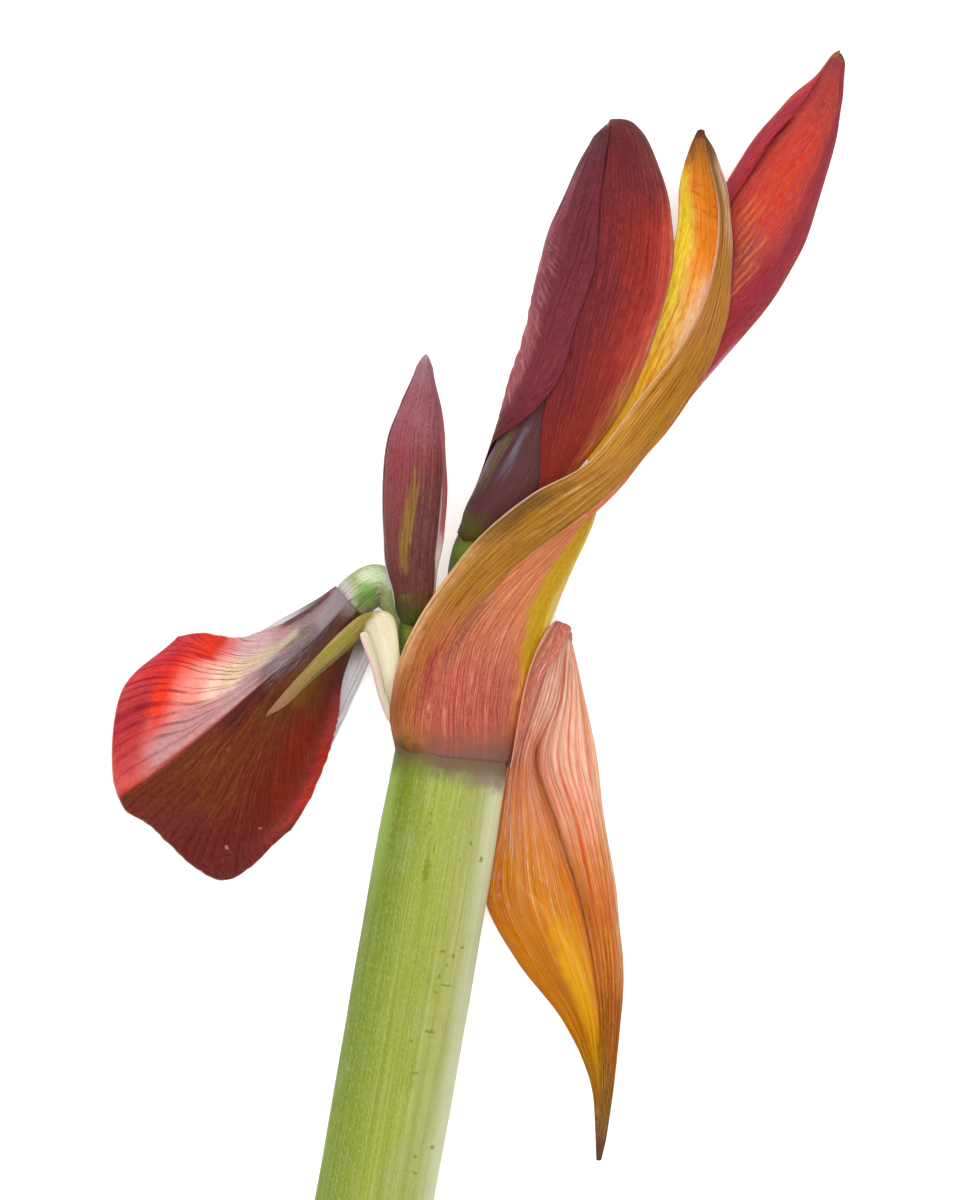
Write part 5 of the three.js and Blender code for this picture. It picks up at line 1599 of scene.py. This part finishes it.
ANTHER_RADIUS = 1.2
ANTHER_PROFILE = [(-2.5, 0.4), (-1.6, 1), (0, 1.1), (1.4, 0.9), (2.2, 0.3)]
BENT_STALK_MESH = (90, 28)
FILAMENT_MESH = (24, 12)
ANTHER_MESH = (14, 14)
print("drooping flower:", len(DROOPING_TEPALS), "tepals")


# %% Shape the tepals of the flower
FRONT_GRID = (210, 146)
FAN_PLEATS = 150
FAN_PLEAT_HEIGHT = 0.1
FRONT_LUMP_HEIGHT = 0.25
OTHER_GRID = (90, 42)
OTHER_RIBS = 7
OTHER_RIB_HEIGHT = 0.1
OTHER_LUMP_HEIGHT = 0.1


def ragged(v, seed, amount):
    """How much of its length a tepal lacks at each place across: small waves and a few bites."""
    bites = bump(v, 0.93, 0.02) + 0.6 * bump(v, 0.86, 0.015) + 0.15 * bump(v, 0.56, 0.03)
    worn = 0.5 + 0.35 * waves(v * 9, v * 0, seed) + 0.2 * waves(v * 31, v * 0, seed + 1) + 2.2 * bites
    return amount * worn + 0.008 * ease(v, 0.44, 0.5) * ease(v, 0.6, 0.54)


def front_sheet():
    """The keeled tepal: fan pleats on both sides of the keel and a worn far edge."""
    u, v = grid(*FRONT_GRID)
    u_worn = u * (1 - ragged(v, 61, 0.007) * ease(v, 0.3, 0.5))
    points = patch(DROOPING_TEPALS["outer_tepal_1"], u_worn, v)
    fan = (v - 0.4) / (1 + 6 * u) ** 1.5
    pleats = (FAN_PLEAT_HEIGHT * np.sin(2 * math.pi * FAN_PLEATS * fan + 2 * waves(u * 2, v, 62))
              * ease(u, 0.2, 0.5) * ease(u, 1, 0.8))
    return pleated(points, pleats + FRONT_LUMP_HEIGHT * waves(u * 5, v * 3, 63) * ease(u, 0.1, 0.4))


def other_sheet(name, seed):
    """One of the five smaller tepals, with soft ribs."""
    u, v = grid(*OTHER_GRID)
    points = patch(DROOPING_TEPALS[name], u, v)
    ribs = OTHER_RIB_HEIGHT * np.sin(2 * math.pi * OTHER_RIBS * v + waves(u * 2, v, seed)) * ease(u, 0, 0.2)
    lumpy = OTHER_LUMP_HEIGHT * waves(u * 6, v * 3, seed + 1) * ease(u, 0.05, 0.3)
    return pleated(points, ribs + lumpy)


print("front tepal:", np.ptp(front_sheet(), (0, 1)).round(), "mm across, up and deep")

# %% [markdown]
# The colours of the flower
#
# Above the keel the light comes through the tissue and makes it glow, and below the keel it lies
# over the other tepals and is dark. Light that really passes through thin sheets takes long to
# render without noise. So the tissue is translucent in part, and the lit side gives a little
# light of its own colour.

# %% Colour the front tepal
def front_material():
    """Red above the keel, partly painted glow, with a pale star; a lilac keel with a painted highlight;
    maroon to crimson below, partly painted shade.
    """
    paint = Paint("Drooping flower, front tepal", "#762a26", 0.035)
    lines = paint.veins(640, 52, 0.4, 6, 0.003, 1.5)
    below = paint.past([(0, 0.4), (0.4, 0.395), (0.7, 0.4), (1, 0.41)], 0.012)
    above = paint.opposite(below)
    paint.wash("#a82c1e", below, paint.area(0.4, 0.9, 0.82, 1, 0.08))
    paint.wash("#dc4030", below, paint.area(0.42, 0.94, 0.91, 1, 0.05), 0.9)
    paint.wash("#cc5c50", below, paint.area(0.26, 0.48, 0.89), 0.9)
    paint.wash("#94301f", below, paint.area(0.34, 0.66, 0.7, 0.9, 0.08), 0.9)
    paint.wash("#753a22", below, paint.area(0.35, 1, 0.44, 0.6, 0.06), 0.9)
    paint.wash("#9b7234", below, paint.area(0.1, 0.37, 0.5, 0.62, 0.05))
    paint.wash("#8a6420", below, paint.area(0.18, 0.34, 0.6, 0.68, 0.04))
    paint.wash("#7a4a2a", below, paint.area(0.18, 0.36, 0.68, 0.8, 0.05))
    paint.wash("#8f8420", below, paint.spot(0.09, 0.9, 0.09, 0.2))
    paint.wash("#6a4038", below, paint.area(0.12, 0.28, 0.8))
    # painted shade: a dark band just under the keel, where the tepal lies over the others
    paint.wash("#50292a", below, paint.area(0.1, 0.6, 0.36, 0.47, 0.03))
    paint.wash("#6f4028", below, paint.area(0.62, 1, 0.36, 0.46, 0.03), 0.9)
    paint.wash("#702c2e", below, paint.area(0.86, 1, 0.46, 1, 0.08), 0.7)
    paint.wash("#94682c", 0.5, below, paint.area(0.3, 0.8, 0.46, 0.66, 0.08), lines[2])
    # above the keel: red, partly the tissue's own colour, partly painted glow where light comes through
    paint.wash("#ea3a20", above)
    paint.wash("#e8c4c2", above, paint.area(0.34, 0.61, 0, 0.42, 0.04))
    paint.wash("#f0a09c", above, paint.area(0.57, 0.66, 0, 0.2, 0.03), 0.7)
    paint.wash("#cc9496", above, paint.area(0.3, 0.4, 0, 0.22, 0.04), 0.8)
    paint.wash("#ab8a88", above, paint.along(0.36, 0.28))
    paint.wash("#bcaeb2", above, paint.area(0, 0.2, 0.18, 0.42, 0.05))
    paint.wash("#8e8458", below, paint.area(0, 0.04, 0.4, 0.6, 0.03))
    paint.wash("#63602a", below, paint.area(0, 0.04, 0.6, 1, 0.03))
    paint.wash("#6a2c2a", above, paint.area(0.04, 0.35, 0, 0.08, 0.025))
    paint.wash("#8a6440", above, paint.area(0.18, 0.4, 0.21, 0.29, 0.025))
    paint.wash("#f8dcc8", above, paint.spot(0.63, 0.27, 0.16, 0.1))
    star_ray = [(0.28, 0.2), (0.38, 0.24), (0.5, 0.25), (0.62, 0.26)]
    paint.wash("#e0d2a8", above, paint.line(star_ray, 0.06), 0.9)
    paint.wash("#f8a094", above, paint.area(0.68, 0.8, 0.22, 0.36, 0.04), 0.85)
    paint.wash("#a8303a", above, paint.area(0.88, 1, 0.2, 0.31, 0.03))
    paint.wash("#dc5054", above, paint.area(0.88, 1, 0, 0.2), 0.7)
    paint.wash("#e89c98", above, paint.area(0.95, 1, 0.05, 0.2), 0.7)
    # partly painted highlight: the keel's pale lilac band
    paint.wash("#c29a9a", above, paint.area(0.42, 0.9, 0.32, 0.42, 0.03))
    paint.wash("#7c6468", above, paint.area(0.18, 0.44, 0.31, 0.42, 0.03))
    paint.wash("#cf7874", above, paint.area(0.86, 1, 0.32, 0.42, 0.03), 0.8)
    paint.wash("#c81c34", above, paint.area(0.8, 1, 0, 0.2, 0.04), 0.85)
    paint.wash("#b8303c", above, paint.area(0.9, 1, 0.2, 0.4, 0.04), 0.7)
    paint.wash("#b8aab0", paint.along(0.09, 0.01), paint.area(0, 0.2, 0.12, 0.56, 0.05))
    paint.lift(1.0, 0.82, 0.85, paint.times(below, paint.along(0.42, 0.56)))
    paint.lift(1.2, 0.85, 0.85, paint.times(below, paint.area(0.2, 1, 0.82, 1, 0.05)))
    paint.tissue(lines, "#b46a6a", "#f6dcdc", 0.7, paint.times(above, paint.along(0.66, 0.5)))
    paint.tissue(lines, "#b04048", "#f87058", 0.6, paint.times(above, paint.along(0.5, 0.66)))
    paint.tissue(lines, "#64302c", "#a84a2c", 1.0, below)
    paint.wash("#8c1428", 0.85, lines[0], above, paint.area(0.5, 1, 0, 0.32, 0.08))
    paint.wash("#8a5a64", 0.5, lines[0], above, paint.area(0.1, 0.9, 0.3, 0.42, 0.04))
    paint.wash("#ece4ea", 0.8, lines[1], paint.area(0, 0.4, 0.1, 0.46, 0.05))
    paint.wash("#5c3038", 0.7, lines[0], paint.area(0, 0.3, 0.1, 0.5, 0.05))
    paint.wash("#c9b8c0", 0.7, lines[1], paint.area(0, 0.3, 0.42, 0.58, 0.04))
    for along, across in ((0.75, 0.78), (0.87, 0.74), (0.7, 0.93)):
        paint.wash("#d88c80", paint.spot(along, across, 0.006, 0.01), 0.7)
    paint.wash("#f0d4cc", 0.5, paint.near_edge(0.5), paint.along(0.3, 0.4))
    # painted glow: above the keel the tepal gives a little light of its own colour
    return paint.finish(roughness=0.5, glow=0.35, lit=paint.times(above, paint.along(0.4, 0.6)), light=0.12)


FRONT = front_material()
print("front tepal:", len(FRONT.node_tree.nodes), "nodes")


# %% Colour the rest of the flower
def pale_material():
    """Whitish grey tissue with fine lilac lines that lets the light through."""
    paint = Paint("Drooping flower, pale tepal", "#f3f0f2")
    paint.wash("#705848", 0.9, paint.along(0.38, 0.16), paint.across(0.8, 0.5))
    paint.wash("#a87a78", 0.8, paint.along(0.2, 0.03))
    paint.tissue(paint.veins(26, 57, 0.5, 0.6), "#b8aab2", "#ffffff", 0.8)
    return paint.finish(roughness=0.5, glow=0.5, depth=0.2)


def inner_flower_material():
    """Dark red tissue with a green midrib, as seen between the other tepals."""
    paint = Paint("Drooping flower, inner tepal", "#8a2b30")
    paint.wash("#b9bf7a", paint.spot(0.35, 0.5, 0.4, 0.08))
    paint.tissue(paint.veins(34, 59, 0.5, 1.0), "#8c5458", "#c07078", 0.8)
    return paint.finish(roughness=0.5, glow=0.25, depth=0.2)


def stamen_material():
    """Pinkish white filaments."""
    paint = Paint("Filaments, pinkish white", "#f0d9cf")
    paint.wash("#d98a86", paint.along(0.5, 1.0), paint.mottle)
    return paint.finish(roughness=0.45, glow=0.2, depth=0.1)


def anther_material():
    """Dusty yellow pollen sacs."""
    paint = Paint("Anthers, pollen yellow", "#cda63c")
    paint.wash("#8a6a24", paint.mottle)
    return paint.finish(roughness=0.8, glow=0.05, depth=0.2)


PALE = pale_material()
INNER = inner_flower_material()
print("other tepals:", PALE.name, "|", INNER.name)


# %% Add the drooping flower
def add_drooping_flower():
    """The keeled front tepal, the five behind it, and the bent stalk."""
    add_blade("drooping_flower_outer_tepal_1", front_sheet(), TEPAL_THICKNESS, FRONT)
    for seed, name in enumerate(list(DROOPING_TEPALS)[1:]):
        paint, slot = (PALE, "flower_back") if name.startswith("outer") else (INNER, "flower_front")
        add_blade(f"drooping_flower_{name}", other_sheet(name, 70 + 3 * seed), TEPAL_THICKNESS, paint)
    node = "drooping_flower_stalk"
    add_stem(f"{node}_stem", DROOPING_STALK, *BENT_STALK_MESH, BENT_STALK, "stalk", node, OVARY_LOBES)


def filament_axis(end, k):
    """A thin stalk from the tube's mouth to its end, with a slight sag."""
    frames = axis_frames(TUBE_MOUTH, np.array(0.5))
    angle = np.array(math.radians(90 - 60 * k))
    start = on_ring(frames, np.array(FILAMENT_RING if k < STAMENS else 0.0), angle)
    rows = []
    for share, sag in FILAMENT_SAG:
        place = start + (np.array(end) - start) * share
        rows.append([place[0], place[1], place[2] - sag, FILAMENT_RADIUS])
    return rows


def anther_axis(end, start):
    """A short thick spindle at the end of a filament, along it."""
    end = np.array(end, float)
    along = unit(end - np.array(start[:3]))
    return [[*(end + along * reach), ANTHER_RADIUS * size] for reach, size in ANTHER_PROFILE]


def add_stamens():
    """A filament to each end point, with an anther on it; the last one is the bare style."""
    filaments, anthers = stamen_material(), anther_material()
    for k, end in enumerate(FILAMENT_ENDS):
        axis = filament_axis(end, k)
        label = f"stamen_{k + 1}" if k < STAMENS else "style"
        add_stem(f"drooping_flower_{label}", axis, *FILAMENT_MESH, filaments, "stalk",
                 "drooping_flower_stalk")
        if k < STAMENS:
            add_stem(f"drooping_flower_anther_{k + 1}", anther_axis(end, axis[0]), *ANTHER_MESH, anthers,
                     "stalk", "drooping_flower_stalk")


add_drooping_flower()
add_stamens()
flower_pieces = [o for o in bpy.data.objects if o.name.startswith("drooping_flower_") and o.parent]
print("flower pieces:", len(flower_pieces))

# %% [markdown]
# Floor, light and camera
#
# The flower lies on a pale surface under even, soft light. The camera hangs over it and looks
# straight down, turned by the lean of the scape, with its frame as tall as the picture of the
# flower: 1200 parts of 0.2222 mm.

# %% Stage and camera
PIXEL = 0.2222
IMAGE_HEIGHT = 1200
CAMERA_RISE = 1100
FOCUS_HEIGHT = 16
PICTURE_MIDDLE = [26.5 * PIXEL, 157 * PIXEL, 0]
SENSOR = 36.0
FLOOR_REACH = 3.0
FLOOR_DROP = 0.0002
FLOOR_GLOW = 0.3
FLOOR_COLOUR = (0.93, 0.935, 0.94, 1)
HEAD_MIDDLE = [0, 0.06, 0]
SOFTBOXES = {
    "softbox_above": [(0, 0.06, 1.4), 10.0, 0.5],
    "softbox_left": [(-0.7, 0.55, 1.0), 5.5, 1.2],
    "softbox_right": [(0.8, 0.2, 1.1), 3.0, 1.2],
    "softbox_foot": [(0.1, -0.9, 0.9), 2.5, 1.2],
}
SKY_LIGHT = 0.72


def add_floor():
    """A square of so many metres to each side, a hair below the flower, with a faint cloudiness."""
    square = np.array([[-1, -1, 0], [1, -1, 0], [1, 1, 0], [-1, 1, 0]])
    corners = square * FLOOR_REACH - [0, 0, FLOOR_DROP]
    mesh = bpy.data.meshes.new("floor")
    mesh.from_pydata(corners.tolist(), [], [[0, 1, 2, 3]])
    material = bpy.data.materials.new("Pale table")
    material.use_nodes = True
    skin = material.node_tree.nodes["Principled BSDF"]
    skin.inputs["Emission Color"].default_value = (1, 1, 1, 1)
    skin.inputs["Emission Strength"].default_value = FLOOR_GLOW
    place = add_node(material.node_tree, "ShaderNodeTexCoord", {}).outputs["Object"]
    cloud = noise(material.node_tree, place, 3, 2, 0.5)
    ramp = smooth(material.node_tree, cloud, 0.3, 0.7, 0.55, 0.65)
    feed(material.node_tree, skin.inputs["Roughness"], ramp)
    skin.inputs["Base Color"].default_value = FLOOR_COLOUR
    skin.inputs["Specular IOR Level"].default_value = 0.1
    mesh.materials.append(material)
    floor = bpy.data.objects.new("floor", mesh)
    bpy.context.scene.collection.objects.link(floor)


def add_light(name, place, power, size):
    """A square softbox, turned from straight down until it faces the flower."""
    lamp = bpy.data.lights.new(name, "AREA")
    lamp.energy = power
    lamp.size = size
    box = bpy.data.objects.new(name, lamp)
    box.location = place
    aim = np.array(HEAD_MIDDLE) - np.array(place)
    tilt = math.atan2(math.hypot(aim[0], aim[1]), -aim[2])
    box.rotation_euler = (tilt, 0, math.atan2(aim[1], aim[0]) - math.pi / 2)
    bpy.context.scene.collection.objects.link(box)


def add_camera():
    """A lens as long as the sensor is to the picture's height, times the camera's rise."""
    camera = bpy.data.cameras.new("camera")
    camera.sensor_width = SENSOR
    camera.lens = SENSOR * (CAMERA_RISE * MM) / (IMAGE_HEIGHT * PIXEL * MM)
    holder = bpy.data.objects.new("camera", camera)
    middle = in_frame(PICTURE_MIDDLE)
    holder.location = (middle[0], middle[1], (CAMERA_RISE + FOCUS_HEIGHT) * MM)
    holder.rotation_euler = (0, 0, LEAN)
    bpy.context.scene.collection.objects.link(holder)
    bpy.context.scene.camera = holder
    print("camera at", [round(c, 4) for c in holder.location], "lens", round(camera.lens, 1))


add_floor()
for softbox, (spot, watts, width) in SOFTBOXES.items():
    add_light(softbox, spot, watts, width)
world = bpy.data.worlds.new("studio")
world.use_nodes = True
sky = world.node_tree.nodes["Background"]
sky.inputs["Color"].default_value = (1.0, 1.0, 1.0, 1)
sky.inputs["Strength"].default_value = SKY_LIGHT
bpy.context.scene.world = world
bpy.context.scene.view_settings.view_transform = "Standard"
add_camera()
